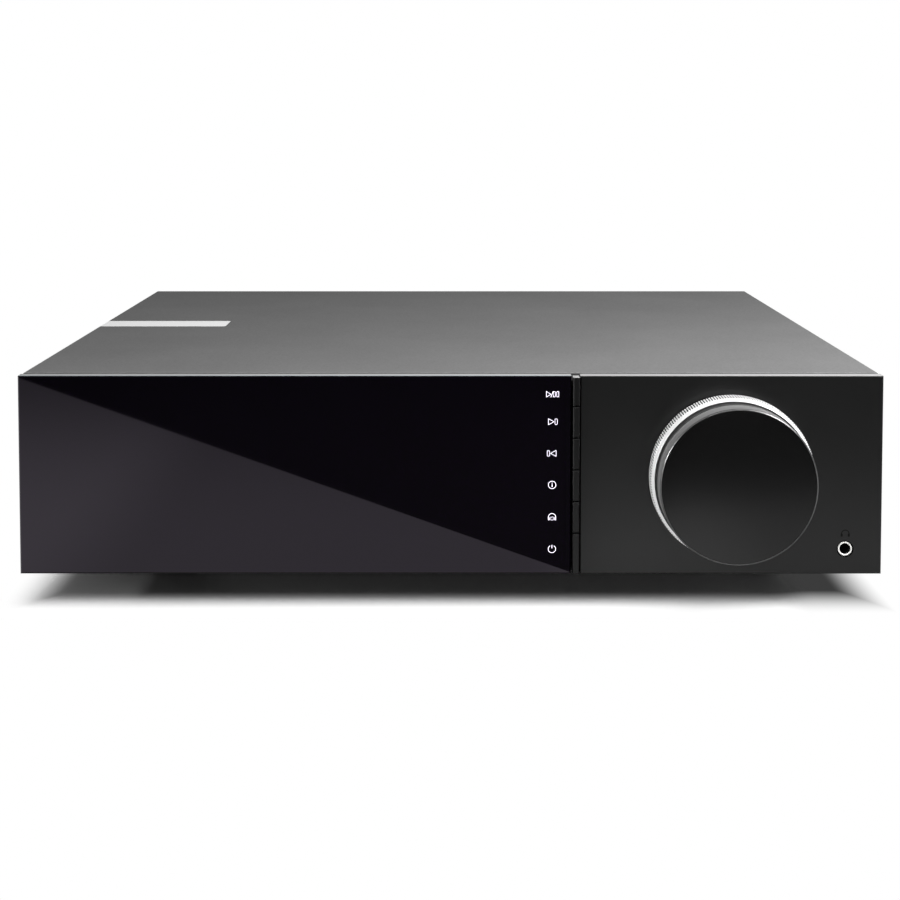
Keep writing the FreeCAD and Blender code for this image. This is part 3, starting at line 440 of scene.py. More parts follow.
# Play and pause
z = bottom_z + symbol_up["play_pause"] * mm
placed_symbol("symbol_play_pause", [
    arrow(symbol_x - 1.65 * mm, z, 2.5 * mm, 2.3 * mm, 0),
    flat_shape(4, 0.18 * mm, 2.4 * mm, symbol_x - 0.15 * mm, z, turn=math.radians(-22)),
    flat_shape(4, 0.9 * mm, 2.1 * mm, symbol_x + 0.68 * mm, z, rounding=0.28 * mm, line=symbol_line),
    flat_shape(4, 0.9 * mm, 2.1 * mm, symbol_x + 1.95 * mm, z, rounding=0.28 * mm, line=symbol_line)])

# Next track and previous track
for track, side in (("next", 1), ("previous", -1)):
    z = bottom_z + symbol_up[track] * mm
    placed_symbol("symbol_" + track, [
        arrow(symbol_x - side * 0.75 * mm, z, 3.0 * mm, 2.5 * mm, 0 if side > 0 else math.pi),
        flat_shape(4, 1.0 * mm, 2.2 * mm, symbol_x + side * 1.4 * mm, z, rounding=0.3 * mm,
                   line=symbol_line)])

# Information: a ring with a dot over a short stroke
z = bottom_z + symbol_up["info"] * mm
placed_symbol("symbol_info", [
    flat_shape(40, 2.95 * mm, 2.95 * mm, symbol_x, z, line=0.17 * mm),
    flat_shape(4, 0.24 * mm, 0.95 * mm, symbol_x, z - 0.28 * mm),
    flat_shape(16, 0.3 * mm, 0.3 * mm, symbol_x, z + 0.65 * mm)])

# Headphone output: a band over two ear pieces, and a small loudspeaker grille between them
z = bottom_z + symbol_up["output"] * mm
ears = [flat_shape(4, 0.5 * mm, 1.1 * mm, symbol_x + side * 1.2 * mm, z - 0.6 * mm, rounding=0.15 * mm)
        for side in (-1, 1)]
grille = flat_shape(4, 1.1 * mm, 1.2 * mm, symbol_x, z - 0.55 * mm, rounding=0.2 * mm, line=0.12 * mm)
band = flat_shape(40, 2.9 * mm, 2.8 * mm, symbol_x, z, line=0.19 * mm)
kept_above(band, z - 0.1 * mm)
placed_symbol("symbol_output", [band, grille] + ears)

# Power: a ring open at the top, and a stroke in the opening
z = bottom_z + symbol_up["power"] * mm
open_ring = flat_shape(48, 2.9 * mm, 2.9 * mm, symbol_x, z, line=0.18 * mm)
chosen(open_ring)
bpy.ops.object.mode_set(mode="EDIT")
bpy.ops.mesh.select_all(action="DESELECT")
bpy.ops.object.mode_set(mode="OBJECT")
for face in open_ring.data.polygons:
    centre = open_ring.matrix_world @ face.center
    face.select = centre.z > z + 0.9 * mm and abs(centre.x - symbol_x) < 0.65 * mm
bpy.ops.object.mode_set(mode="EDIT")
bpy.ops.mesh.delete(type="FACE")
bpy.ops.mesh.select_all(action="SELECT")
bpy.ops.mesh.fill_holes(sides=4)
bpy.ops.object.mode_set(mode="OBJECT")
placed_symbol("symbol_power", [
    open_ring, flat_shape(4, 0.22 * mm, 1.3 * mm, symbol_x, z + 0.9 * mm, rounding=0.08 * mm)])


# Keys. Six moulded caps in one narrow column, each on a blade through the frame. Behind them the guide,
# the small board and its switches.
key_plastic = Finish("key_black")
key_grain = key_plastic.grain(0.0005, 3.0)
# Above this height the top face of the key column is painted light grey, a painted highlight
key_top_highlight = key_plastic.along("Z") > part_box("key_play_pause")[1].z - 0.05 * mm
dress(key_plastic.coated({
    "Base Color": key_plastic.mixed(key_top_highlight, key_plastic.mixed(key_grain, tone(5), tone(9)), tone(170)),
    "Roughness": 0.28 + key_grain * 0.08,
    "Normal": key_plastic.bumped(key_grain, 0.00002)}),
    "key_power", "key_output", "key_info", "key_previous", "key_next", "key_play_pause")


def speckled(name, dark, light, size, roughness, spread, detail=2.0, depth=0.0, metallic=0.0, shine=0.5):
    """A finish with one fine grain between two tones. A depth raises its grain above the surface."""
    finish = Finish(name)
    grain = finish.grain(size, detail)
    inputs = {
        "Base Color": finish.mixed(grain, dark, light),
        "Metallic": metallic,
        "Specular IOR Level": shine,
        "Roughness": roughness + grain * spread}
    if depth:
        inputs["Normal"] = finish.bumped(grain, depth)
    return finish.coated(inputs)


dress(speckled("guide_black", tone(24), tone(31), 0.001, 0.55, 0.1), "key_guide")

laminate = Finish("board_green")
weave = laminate.node("ShaderNodeTexChecker", {}, {"Vector": laminate.place, "Scale": 1500.0}, "Fac")
tracks = laminate.eased(laminate.grain(0.006, 1.0), 0.5, 0.53)
board_green = laminate.coated({
    "Base Color": laminate.mixed(tracks, laminate.mixed(weave, tone(12, 62, 40), tone(15, 70, 46)),
                                 tone(22, 88, 56)),
    "Roughness": 0.35 + weave * 0.06,
    "Normal": laminate.bumped(tracks, 0.00003)})
dress(board_green, "key_board")

dress(speckled("switch_steel", tone(150), tone(178), 0.0012, 0.32, 0.12, detail=3.0, metallic=1.0),
      "key_switches")


# Control panel. An aluminium plate, blasted fine and anodised black, glued to the frame. Its grain is
# too fine to see one by one, but it spreads every reflection softly.
panel_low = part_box("control_panel")[0]
anodised = Finish("panel_black")
blasted = anodised.grain(0.00035, 2.0)
cloud = anodised.grain(0.02, 2.0)
# The panel's top face is painted light grey, a painted highlight
panel_top_highlight = anodised.along("Z") > upper_edge
dress(anodised.coated({
    "Base Color": anodised.mixed(panel_top_highlight, anodised.mixed(blasted, tone(6), tone(12)), tone(160)),
    "Specular IOR Level": 0.6,
    "Roughness": 0.28 + blasted * 0.05 + cloud * 0.03,
    "Normal": anodised.bumped(blasted, 0.00001)}), "control_panel")


# Selector ring. A ring turned from aluminium, its rear half coin-edged with 192 fine teeth, then a
# chamfer, a fine groove and a smooth neck. It turns on a hollow shaft in the encoder's bush.
dial_low, dial_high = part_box("dial_body")
dial_x = (dial_low.x + dial_high.x) / 2
dial_z = (dial_low.z + dial_high.z) / 2
face_y = panel_low.y


def turned(name, middle, along, profile, steps):
    """A turned piece. The profile is a closed walk of (radius, distance along the axis) in millimetres."""
    middle = Vector(middle)
    along = Vector(along)
    side = Vector((1, 0, 0))
    places = [middle + side * radius * mm + along * distance * mm for radius, distance in profile]
    bpy.ops.object.select_all(action="DESELECT")
    bpy.ops.mesh.primitive_plane_add(size=mm, location=places[0])
    piece = bpy.context.object
    bpy.ops.object.mode_set(mode="EDIT")
    bpy.ops.mesh.select_all(action="SELECT")
    bpy.ops.mesh.merge(type="CENTER")
    for here, there in zip(places, places[1:]):
        bpy.ops.mesh.extrude_vertices_move(TRANSFORM_OT_translate={"value": there - here})
    bpy.ops.mesh.select_all(action="SELECT")
    bpy.ops.mesh.spin(steps=steps, angle=2 * math.pi, center=middle, axis=along)
    bpy.ops.mesh.select_all(action="SELECT")
    bpy.ops.mesh.remove_doubles(threshold=0.004 * mm)
    bpy.ops.mesh.normals_make_consistent(inside=False)
    bpy.ops.object.mode_set(mode="OBJECT")
    return settled(piece, name)


def smoothed(piece, degrees):
    chosen(piece)
    bpy.ops.object.shade_smooth_by_angle(angle=math.radians(degrees))


outward = (0, -1, 0)
dial_middle = (dial_x, face_y, dial_z)
tooth_count = 192
steps_per_tooth = 4
tooth_tip = 30.0
tooth_root = 29.55
neck_back = 9.62
ring = turned("selector_ring", dial_middle, outward, [
    (3.02, 3.5), (9.0, 3.5), (9.0, 1.0), (29.3, 1.0), (29.75, 1.2), (30.0, 1.4), (30.0, 7.0), (29.75, 7.2),
    (29.65, 7.3), (29.0, 9.3), (28.9, 9.5), (28.8, 9.6), (28.3, 9.7), (27.9, 9.75), (27.9, 10.0),
    (28.2, 10.1), (28.2, 13.4), (28.1, 13.5), (3.02, 13.5), (3.02, 3.5)], steps_per_tooth * tooth_count)
bpy.ops.object.mode_set(mode="EDIT")
bpy.ops.mesh.select_all(action="DESELECT")
bpy.ops.object.mode_set(mode="OBJECT")
for vertex in ring.data.vertices:
    across = vertex.co.x - dial_x
    up = vertex.co.z - dial_z
    step = round(math.atan2(up, across) / math.pi / 2 * tooth_count * steps_per_tooth)
    vertex.select = math.hypot(across, up) > 29.7 * mm and step % steps_per_tooth == 0
bpy.ops.object.mode_set(mode="EDIT")
bpy.ops.transform.resize(value=(tooth_root / tooth_tip, 1, tooth_root / tooth_tip),
                         center_override=dial_middle)
bpy.ops.object.mode_set(mode="OBJECT")
smoothed(ring, 24)


def off_axis(finish):
    """The distance from the dial's axis."""
    across = finish.along("X") - dial_x
    up = finish.along("Z") - dial_z
    return finish.maths("SQRT", across * across + up * up)


def turning_marks(finish, pitch):
    """Fine circles round the dial's axis, as the lathe leaves them, on sides and faces alike."""
    round_axis = finish.node("ShaderNodeCombineXYZ", {}, {
        "X": off_axis(finish), "Y": finish.along("Y"), "Z": 0.0})
    return finish.grain(pitch, 1.0, round_axis)


blasted_silver = Finish("dial_silver_blasted")
beads = blasted_silver.grain(0.00025, 2.0)
# The valleys between the teeth are painted near black, a painted shade
valley_painted_shade = blasted_silver.eased(off_axis(blasted_silver), 29.84 * mm, 29.99 * mm, 1.0, 0.0)
on_band = blasted_silver.along("Y") > face_y - 7.1 * mm
silver_blasted = blasted_silver.coated({
    "Base Color": blasted_silver.mixed(
        valley_painted_shade * on_band, blasted_silver.mixed(beads, tone(206), tone(220)), tone(12)),
    "Metallic": 0.2,
    "Roughness": 0.42 + beads * 0.1,
    "Normal": blasted_silver.bumped(beads, 0.00001)})

turned_silver = Finish("dial_silver_turned")
lathe = turning_marks(turned_silver, 0.00022)
silver_turned = turned_silver.coated({
    "Base Color": turned_silver.mixed(lathe, tone(122), tone(138)),
    "Metallic": 0.4,
    "Roughness": 0.34 + lathe * 0.1,
    "Normal": turned_silver.bumped(lathe, 0.000006)})

# The neck, sunk between the ring and the dial, takes a darker copy of the turned finish as painted shade
neck_silver = Finish("dial_neck_painted_shade")
neck_lathe = turning_marks(neck_silver, 0.00022)
neck_painted_shade = neck_silver.coated({
    "Base Color": neck_silver.mixed(neck_lathe, tone(58), tone(68)),
    "Metallic": 0.7,
    "Roughness": 0.34 + neck_lathe * 0.1})

ring.data.materials.append(silver_blasted)
ring.data.materials.append(neck_painted_shade)
for face in ring.data.polygons:
    face.material_index = 1 if face.center.y < face_y - neck_back * mm else 0
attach(ring, "selector_ring")
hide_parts("dial_ring")

dress(speckled("shaft_steel", tone(168), tone(190), 0.0004, 0.2, 0.15, metallic=1.0),
      "ring_shaft", "dial_shaft")


# Volume dial. A cup turned from aluminium with a polished rim, and a black anodised disc pressed into
# its front. Its bore grips the inner shaft, 0.3 mm clear of the ring behind it.
cup = turned("volume_dial_cup", dial_middle, outward, [
    (0.0, 21.1), (0.0, 18.8), (2.02, 18.8), (2.02, 13.8), (28.0, 13.8), (28.2, 14.0), (28.2, 21.2),
    (28.17, 21.5), (28.08, 21.75), (27.96, 21.92), (27.84, 22.0), (27.72, 21.97), (27.7, 21.9), (27.7, 21.1),
    (0.0, 21.1)], 256)
smoothed(cup, 40)
rim_polish = Finish("dial_rim_polished")
rim_marks = turning_marks(rim_polish, 0.0006)
rim = rim_polish.coated({
    "Base Color": rim_polish.mixed(rim_marks, tone(104), tone(120)),
    "Metallic": 0.8,
    "Roughness": 0.26 + rim_marks * 0.08})
rim_back = 21.4
cup.data.materials.append(silver_turned)
cup.data.materials.append(rim)
for face in cup.data.polygons:
    face.material_index = 1 if face.center.y < face_y - rim_back * mm else 0
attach(cup, "volume_dial")
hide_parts("dial_body")

disc = turned("volume_dial_disc", dial_middle, outward, [
    (0.0, 21.1), (27.66, 21.1), (27.66, 21.8), (27.6, 21.87), (27.45, 21.9), (0.0, 21.9)], 256)
smoothed(disc, 40)
disc_black = Finish("dial_face_black")
disc_grain = disc_black.grain(0.0003, 2.0)
disc_turning = turning_marks(disc_black, 0.0005)
disc.data.materials.append(disc_black.coated({
    "Base Color": disc_black.mixed(disc_grain, tone(3), tone(6)),
    "Roughness": 0.26 + disc_turning * 0.012,
    "Normal": disc_black.bumped(disc_grain + disc_turning * 0.08, 0.000006)}))
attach(disc, "volume_dial")
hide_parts("dial_face")

dress(speckled("encoder_metal", tone(120), tone(150), 0.0009, 0.35, 0.15, detail=3.0, metallic=1.0),
      "encoder_body")


# Headphone socket. A nickel-plated sleeve with a rolled lip stands in a clear hole of the panel, on a
# moulded body behind it, and a faint mark of a headphone is printed over it.
sleeve_low, sleeve_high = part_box("headphone_sleeve")
jack_x = (sleeve_low.x + sleeve_high.x) / 2
jack_z = (sleeve_low.z + sleeve_high.z) / 2
jack_front = sleeve_low.y
sleeve = turned("headphone_sleeve_rolled", (jack_x, jack_front, jack_z), (0, 1, 0), [
    (1.8, 0.7), (1.9, 0.4), (2.02, 0.14), (2.12, 0.03), (2.2, 0.0), (2.45, 0.0), (2.56, 0.04), (2.62, 0.14),
    (2.65, 0.3), (2.7, 0.5), (2.7, 15.0), (1.8, 15.0), (1.8, 9.2), (1.72, 9.0), (1.72, 8.6), (1.8, 8.4),
    (1.8, 0.7)], 64)
smoothed(sleeve, 50)
plating = Finish("jack_nickel")
plated = plating.grain(0.0004, 2.0)
bright_lip = plating.mixed(plated, tone(226, 225, 222), tone(242, 241, 238))
# Deeper than the lip, the nickel bore is painted near black, a painted shade
bore_painted_shade = plating.along("Y") > jack_front + 0.22 * mm
sleeve.data.materials.append(plating.coated({
    "Base Color": plating.mixed(bore_painted_shade, bright_lip, tone(22)),
    "Metallic": 0.45,
    "Roughness": 0.3 + plated * 0.12}))
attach(sleeve, "case")
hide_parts("headphone_sleeve")

dress(speckled("jack_black", tone(18), tone(25), 0.0007, 0.45, 0.1), "headphone_socket")

band = flat_shape(40, 3.1 * mm, 3.1 * mm, jack_x, bottom_z + 14.9 * mm, line=0.3 * mm, y=face_y)
kept_above(band, bottom_z + 14.7 * mm)
ears = [flat_shape(4, 0.7 * mm, 1.1 * mm, jack_x + side * 1.3 * mm, bottom_z + 14.4 * mm,
                   rounding=0.15 * mm, y=face_y) for side in (-1, 1)]
mark = joined_as("headphone_mark", [band] + ears)
mark.data.materials.append(speckled("mark_dark", tone(2), tone(5), 0.0004, 0.6, 0.1, shine=0.15))
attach(mark, "case")


# Top cover. A thick aluminium plate, bead-blasted and anodised satin grey, with its edges bevelled. A
# bare bright strip is let into its left edge, flush, with fine brushing along its length.
cover = Finish("cover_grey")
cover_beads = cover.grain(0.0008, 3.0)
cover_cloud = cover.grain(0.05, 3.0)
# The front 0.3 mm of the cover, in the shadow gap, is painted dark as a painted shade
joint_painted_shade = cover.along("Y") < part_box("top_cover")[0].y + 0.3 * mm
blasted_grey = cover.mixed(cover_beads * 0.8 + cover_cloud * 0.2, tone(74), tone(127))
dress(cover.coated({
    "Base Color": cover.mixed(joint_painted_shade, blasted_grey, tone(56)),
    "Roughness": 0.5 + cover_beads * 0.1,
    "Specular IOR Level": 0.2,
    "Normal": cover.bumped(cover_beads, 0.00002)}), "top_cover")

brushed = Finish("strip_silver")
brush_place = brushed.node("ShaderNodeVectorMath", {"operation": "MULTIPLY"}, {
    0: brushed.place, 1: (0.02, 1, 1)})
brush_lines = brushed.grain(0.00022, 2.0, brush_place)
dress(brushed.coated({
    "Base Color": brushed.mixed(brush_lines, tone(244), tone(254)),
    "Roughness": 0.34 + brush_lines * 0.14,
    "Normal": brushed.bumped(brush_lines, 0.000006)}), "badge_strip")


# Side panels. Flat covers of the two sides, powder-coated black, that nickel-plated magnets hold to the
# steel rails. They pull off sideways.
dress(speckled("side_black", tone(23), tone(31), 0.0008, 0.48, 0.12, detail=3.0, depth=0.00005),
      "side_panel_left", "side_panel_right")
dress(speckled("magnet_nickel", tone(176), tone(196), 0.0015, 0.16, 0.12, metallic=1.0),
      "magnets_left", "magnets_right")


# Base plate, side rails and pillars. Folded sheet steel, coated black, with air slots, and plated
# hexagonal pillars under the boards.
dress(speckled("base_black", tone(22), tone(30), 0.0007, 0.5, 0.12, detail=3.0, depth=0.00004),
      "base_plate", "side_rails")
dress(speckled("pillar_steel", tone(170, 168, 160), tone(196, 194, 186), 0.0008, 0.25, 0.15, metallic=1.0),
      "board_pillars")


# Feet. Moulded black feet with a rounded lower rim, screwed up into the base plate, and soft rubber pads
# with two ridges pressed into them.
def copied(piece, name, shift):
    """A copy with its own mesh, moved by this much."""
    chosen(piece)
    bpy.ops.object.duplicate()
    copy = bpy.context.object
    copy.location = shift
    return settled(copy, name)


feet_low, feet_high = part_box("feet")
foot_reach = 18 * mm
foot_x = feet_low.x + foot_reach
foot_y = feet_low.y + foot_reach
to_right = feet_high.x - foot_reach - foot_x
to_back = feet_high.y - foot_reach - foot_y


def on_each_foot(name, profile, steps):
    """Four turned pieces, one under each corner, as one mesh."""
    first = turned(name, (foot_x, foot_y, 0), (0, 0, 1), profile, steps)
    others = [copied(first, name + "_copy", (across, back, 0))
              for across, back in ((to_right, 0), (0, to_back), (to_right, to_back))]
    whole = joined_as(name, [first] + others)
    smoothed(whole, 35)
    return whole


feet = on_each_foot("feet_moulded", [
    (0.0, 1.3), (13.6, 1.3), (13.75, 1.2), (15.6, 1.2), (16.4, 1.35), (17.1, 1.75), (17.6, 2.4), (17.9, 3.2),
    (18.0, 4.2), (18.0, 15.6), (0.0, 15.6), (0.0, 1.3)], 96)
feet.data.materials.append(
    speckled("foot_black", tone(16), tone(22), 0.0007, 0.45, 0.12, detail=3.0, depth=0.00003))
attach(feet, "case")
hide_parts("feet")

pads = on_each_foot("foot_pads_ridged", [
    (0.0, 0.25), (5.6, 0.25), (5.9, 0.05), (6.3, 0.0), (6.9, 0.0), (7.3, 0.05), (7.6, 0.25), (10.2, 0.25),
    (10.5, 0.05), (10.9, 0.0), (12.7, 0.0), (13.2, 0.12), (13.5, 0.5), (13.5, 1.28), (0.0, 1.28),
    (0.0, 0.25)], 96)
pads.data.materials.append(
    speckled("pad_rubber", tone(24), tone(34), 0.0005, 0.75, 0.15, detail=4.0, depth=0.00008))
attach(pads, "case")
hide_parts("foot_pads")


# Rear panel. Sheet steel, coated black, punched with a window for each socket and with slots for air.
# It closes the case behind and is screwed on along its upper and lower edges.
dress(speckled("rear_black", tone(24), tone(32), 0.0007, 0.46, 0.12, detail=3.0, depth=0.00004), "rear_panel")


# Screws. Button heads of nickel-plated steel with a hexagonal recess. Eight hold the rear panel along its
# upper and lower edges, and eight more go up through the base plate into the rails and the frame.
screw_steel = speckled("screw_steel", tone(150, 150, 148), tone(176, 175, 172), 0.0006, 0.26, 0.14,
                       metallic=1.0)

# How far a hexagon reaches one, two and three steps of 15 degrees from a corner
hexagon_reach = (((1, 3), 0.8966), ((2,), 0.866))


def button_screw(name, place, along):
    """A domed screw head. Between its six corners, the round recess is drawn in to make a hexagon."""
    head = turned(name, place, along, [
        (0.0, 0.55), (1.5, 0.55), (1.5, 1.3), (1.7, 1.42), (2.1, 1.32), (2.45, 1.0), (2.65, 0.5), (2.7, 0.0),
        (0.0, 0.0), (0.0, 0.55)], 24)
    for turns, share in hexagon_reach:
        for vertex in head.data.vertices:
            away = vertex.co - Vector(place)
            up = away.z if along[1] else away.y
            step = round(math.atan2(up, away.x) / math.radians(15)) % 4
            vertex.select = 1.2 * mm < math.hypot(away.x, up) < 1.6 * mm and step in turns
        bpy.ops.object.mode_set(mode="EDIT")
        flat = (share, 1, share) if along[1] else (share, share, 1)
        bpy.ops.transform.resize(value=flat, center_override=place)
        bpy.ops.mesh.select_all(action="DESELECT")
        bpy.ops.object.mode_set(mode="OBJECT")
    return head


rear_low, rear_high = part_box("rear_panel")
base_low, base_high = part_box("base_plate")
screw_rows = [-150 * mm, -50 * mm, 50 * mm, 150 * mm]
rear_edge = 4.2 * mm
base_edge = 9 * mm
first_screw = button_screw("rear_screws", (screw_rows[0], rear_high.y, rear_high.z - rear_edge), (0, 1, 0))
drop = rear_low.z + rear_edge - (rear_high.z - rear_edge)
rear_screws = joined_as("rear_screws", [first_screw] + [
    copied(first_screw, "screw_copy", (x - screw_rows[0], 0, down))
    for down in (0, drop) for x in screw_rows if (x, down) != (screw_rows[0], 0)])
first_screw = button_screw("base_screws", (screw_rows[0], base_low.y + base_edge, base_low.z), (0, 0, -1))
base_screws = joined_as("base_screws", [first_screw] + [
    copied(first_screw, "screw_copy", (x - screw_rows[0], back, 0))
    for back in (0, base_high.y - base_low.y - 2 * base_edge)
    for x in screw_rows if (x, back) != (screw_rows[0], 0)])
for screws in (rear_screws, base_screws):
    smoothed(screws, 30)
    screws.data.materials.append(screw_steel)
    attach(screws, "case")


# Mains inlet and power switch. Black glass-filled mouldings that snap into the rear panel, with three
# tinned brass pins, and a rocker in its own frame.
dress(speckled("inlet_black", tone(17), tone(24), 0.0006, 0.42, 0.12, detail=3.0, depth=0.00003),
      "mains_inlet", "rocker_housing")
dress(speckled("pin_metal", tone(198, 194, 184), tone(220, 216, 206), 0.0008, 0.2, 0.15, metallic=1.0),
      "inlet_pins")
dress(speckled("rocker_black", tone(15), tone(21), 0.0006, 0.3, 0.1), "power_rocker")

# A ring and a stroke are printed on the rocker's two faces
mark_white = speckled("mark_white", tone(206), tone(222), 0.0004, 0.45, 0.1)
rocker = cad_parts["power_rocker"]
rocker_low, rocker_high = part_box("power_rocker")
rocker_z = (rocker_low.z + rocker_high.z) / 2
marks = []
for side, corners, width, line in ((1, 32, 3.4 * mm, 0.5 * mm), (-1, 4, 0.55 * mm, 0.0)):
    outer = [face for face in rocker.data.polygons
             if face.normal.y > 0.8 and (face.center.z - rocker_z) * side > 0 and face.area > 20 * mm * mm]
    normal = sum((face.normal * face.area for face in outer), Vector()).normalized()
    middle = sum((face.center * face.area for face in outer), Vector()) / sum(face.area for face in outer)
    middle = middle + normal * 0.03 * mm
    mark = flat_shape(corners, width, 3.4 * mm, middle.x, middle.z, line=line, y=middle.y, thick=0.04 * mm)
    mark.rotation_euler = (math.atan2(normal.y, -normal.z), 0, 0)
    marks.append(mark)
rocker_marks = joined_as("rocker_marks", marks)
rocker_marks.data.materials.append(mark_white)
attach(rocker_marks, "power_rocker")


# Loudspeaker terminals. One moulded plate with four gold-plated studs, each with a hexagonal clamping
# collar and a screw cap, red for positive and black for negative.
dress(speckled("post_black", tone(18), tone(25), 0.0006, 0.4, 0.12, depth=0.00003), "terminal_plate")
post_gold = speckled("post_gold", tone(226, 184, 104), tone(240, 202, 124), 0.0005, 0.16, 0.14, metallic=1.0)
dress(post_gold, "post_studs", "collar_left_positive", "collar_left_negative",
      "collar_right_positive", "collar_right_negative")


def cap_finish(name, dark, light):
    return speckled(name, dark, light, 0.0006, 0.26, 0.1)


cap_red = cap_finish("cap_red", tone(150, 14, 18), tone(168, 20, 24))
cap_black = cap_finish("cap_black", tone(16), tone(23))
cap_low, cap_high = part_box("cap_left_positive")
cap_middle = ((cap_low.x + cap_high.x) / 2, cap_low.y, (cap_low.z + cap_high.z) / 2)
flute_count = 12
flute_steps = 8
cap_steps = flute_count * flute_steps

# How far the cap reaches at the sides of a flute and at its middle
flute_reach = (((3, 5), 0.95), ((4,), 0.93))
first_cap = turned("cap_model", cap_middle, (0, 1, 0), [
    (2.98, 0.0), (6.4, 0.0), (6.85, 0.25), (7.0, 0.8), (7.0, 1.2), (7.0, 8.6), (7.0, 9.0), (6.85, 9.9),
    (6.4, 10.7), (5.6, 11.25), (4.6, 11.5), (3.9, 11.4), (3.5, 11.0), (3.3, 10.4), (2.98, 10.3),
    (2.98, 0.0)], cap_steps)
for turns, share in flute_reach:
    for vertex in first_cap.data.vertices:
        away = vertex.co - Vector(cap_middle)
        step = round(math.atan2(away.z, away.x) / math.pi / 2 * cap_steps) % flute_steps
        vertex.select = (math.hypot(away.x, away.z) > 6.97 * mm and 1.0 * mm < away.y < 8.8 * mm
                         and step in turns)
    bpy.ops.object.mode_set(mode="EDIT")
    bpy.ops.transform.resize(value=(share, 1, share), center_override=cap_middle)
    bpy.ops.mesh.select_all(action="DESELECT")
    bpy.ops.object.mode_set(mode="OBJECT")
smoothed(first_cap, 28)

polarity = []
plate_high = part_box("terminal_plate")[1]
for channel in ("left", "right"):
    for sign, cap_colour in (("positive", cap_red), ("negative", cap_black)):
        node = "cap_" + channel + "_" + sign
        low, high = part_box(node)
        cap = copied(first_cap, "fluted_" + node, (low.x - cap_low.x, 0, 0))
        cap.data.materials.append(cap_colour)
        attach(cap, node)
        "cap_red" if sign == "positive" else "cap_black"
        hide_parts(node)
        mark_x = (low.x + high.x) / 2
        mark_z = plate_high.z - 1.9 * mm
        bars = [(1.8 * mm, 0.45 * mm), (0.45 * mm, 1.8 * mm)][:2 if sign == "positive" else 1]
        polarity += [flat_shape(4, width, height, mark_x, mark_z, y=plate_high.y + symbol_depth)
                     for width, height in bars]
bpy.data.objects.remove(first_cap)
terminal_marks = joined_as("terminal_marks", polarity)
terminal_marks.data.materials.append(mark_white)
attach(terminal_marks, "case")


# Phono sockets. Four turned and gold-plated shells on one moulded block, each round a coloured insulator
# and a hollow middle contact: white for left above red for right. Two threaded aerial sockets beside them.
phono_low, phono_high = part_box("phono_sockets")
phono_reach = 4.15 * mm
phono_places = [(x, z) for z in (phono_high.z - phono_reach, phono_low.z + phono_reach)
                for x in (phono_low.x + phono_reach, phono_high.x - phono_reach)]


def at_places(name, places, y, profile, steps):
    """The same turned piece at each of these places on the rear, as one mesh."""
    x, z = places[0]
    first = turned(name, (x, y, z), (0, 1, 0), profile, steps)
    others = [copied(first, name + "_copy", (there - x, 0, up - z)) for there, up in places[1:]]
    whole = joined_as(name, [first] + others)
    smoothed(whole, 35)
    return whole


shells = at_places("phono_shells", phono_places, phono_low.y, [
    (3.2, 0.3), (3.2, 0.0), (4.9, 0.0), (4.9, 0.9), (4.7, 1.15), (4.15, 1.2), (4.15, 7.9), (4.0, 8.25),
    (3.8, 8.4), (3.35, 8.4), (3.2, 8.2), (3.2, 0.3)], 48)
contacts = at_places("phono_contacts", phono_places, phono_low.y, [
    (1.3, 0.5), (1.75, 0.5), (1.75, 7.75), (1.6, 7.9), (1.3, 7.9), (1.2, 7.7), (1.2, 0.5), (1.3, 0.5)], 32)
shells = joined_as("phono_shells", [shells, contacts])
shells.data.materials.append(post_gold)
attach(shells, "case")
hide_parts("phono_sockets")
for name, places, colour in (("phono_insulators_white", phono_places[:2], (tone(205), tone(220))),
                             ("phono_insulators_red", phono_places[2:],
                              (tone(150, 16, 20), tone(170, 24, 28)))):
    insulators = at_places(name, places, phono_low.y, [
        (1.75, 0.5), (3.2, 0.5), (3.2, 7.5), (3.05, 7.65), (2.0, 7.65), (1.75, 7.5), (1.75, 0.5)], 40)
    insulators.data.materials.append(cap_finish(name, *colour))
    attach(insulators, "case")
    "cap_red" if "red" in name else "block_black"

dress(speckled("block_black", tone(19), tone(26), 0.0007, 0.42, 0.1), "phono_block")

aerial_low, aerial_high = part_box("aerial_sockets")
aerial_corner = 4 * mm / math.cos(math.radians(30))
aerial_z = (aerial_low.z + aerial_high.z) / 2
aerial_places = [(aerial_low.x + aerial_corner, aerial_z), (aerial_high.x - aerial_corner, aerial_z)]
panel_back = rear_high.y
thread = [point for turn in range(11) for point in ((3.1, 2.7 + turn * 0.5), (2.85, 2.95 + turn * 0.5))]
barrels = at_places("aerial_barrels", aerial_places, panel_back, [
    (2.0, 2.0), (3.0, 2.0), (3.0, 2.5), *thread, (2.8, 8.3), (2.7, 8.8), (2.5, 9.0), (2.1, 9.0), (2.0, 8.8),
    (2.0, 2.0)], 48)
nuts = []
for x, z in aerial_places:
    bpy.ops.object.select_all(action="DESELECT")
    bpy.ops.mesh.primitive_cylinder_add(
        vertices=6, radius=aerial_corner, depth=2.2 * mm,
        location=(x, panel_back + 1.1 * mm, z), rotation=(math.radians(90), 0, 0))
    nut = bpy.context.object
    bpy.ops.object.mode_set(mode="EDIT")
    bpy.ops.mesh.select_all(action="SELECT")
    bpy.ops.mesh.bevel(affect="EDGES", offset=0.3 * mm, segments=2)
    bpy.ops.object.mode_set(mode="OBJECT")
    nuts.append(nut)
aerials = joined_as("aerial_sockets_threaded", [barrels] + nuts)
aerials.data.materials.append(post_gold)
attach(aerials, "case")
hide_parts("aerial_sockets")
dielectric = at_places("aerial_insulators", aerial_places, panel_back, [
    (0.45, 2.1), (2.0, 2.1), (2.0, 8.2), (0.45, 8.2), (0.45, 2.1)], 32)
dielectric.data.materials.append(cap_finish("aerial_insulator", tone(210), tone(224)))
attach(dielectric, "case")


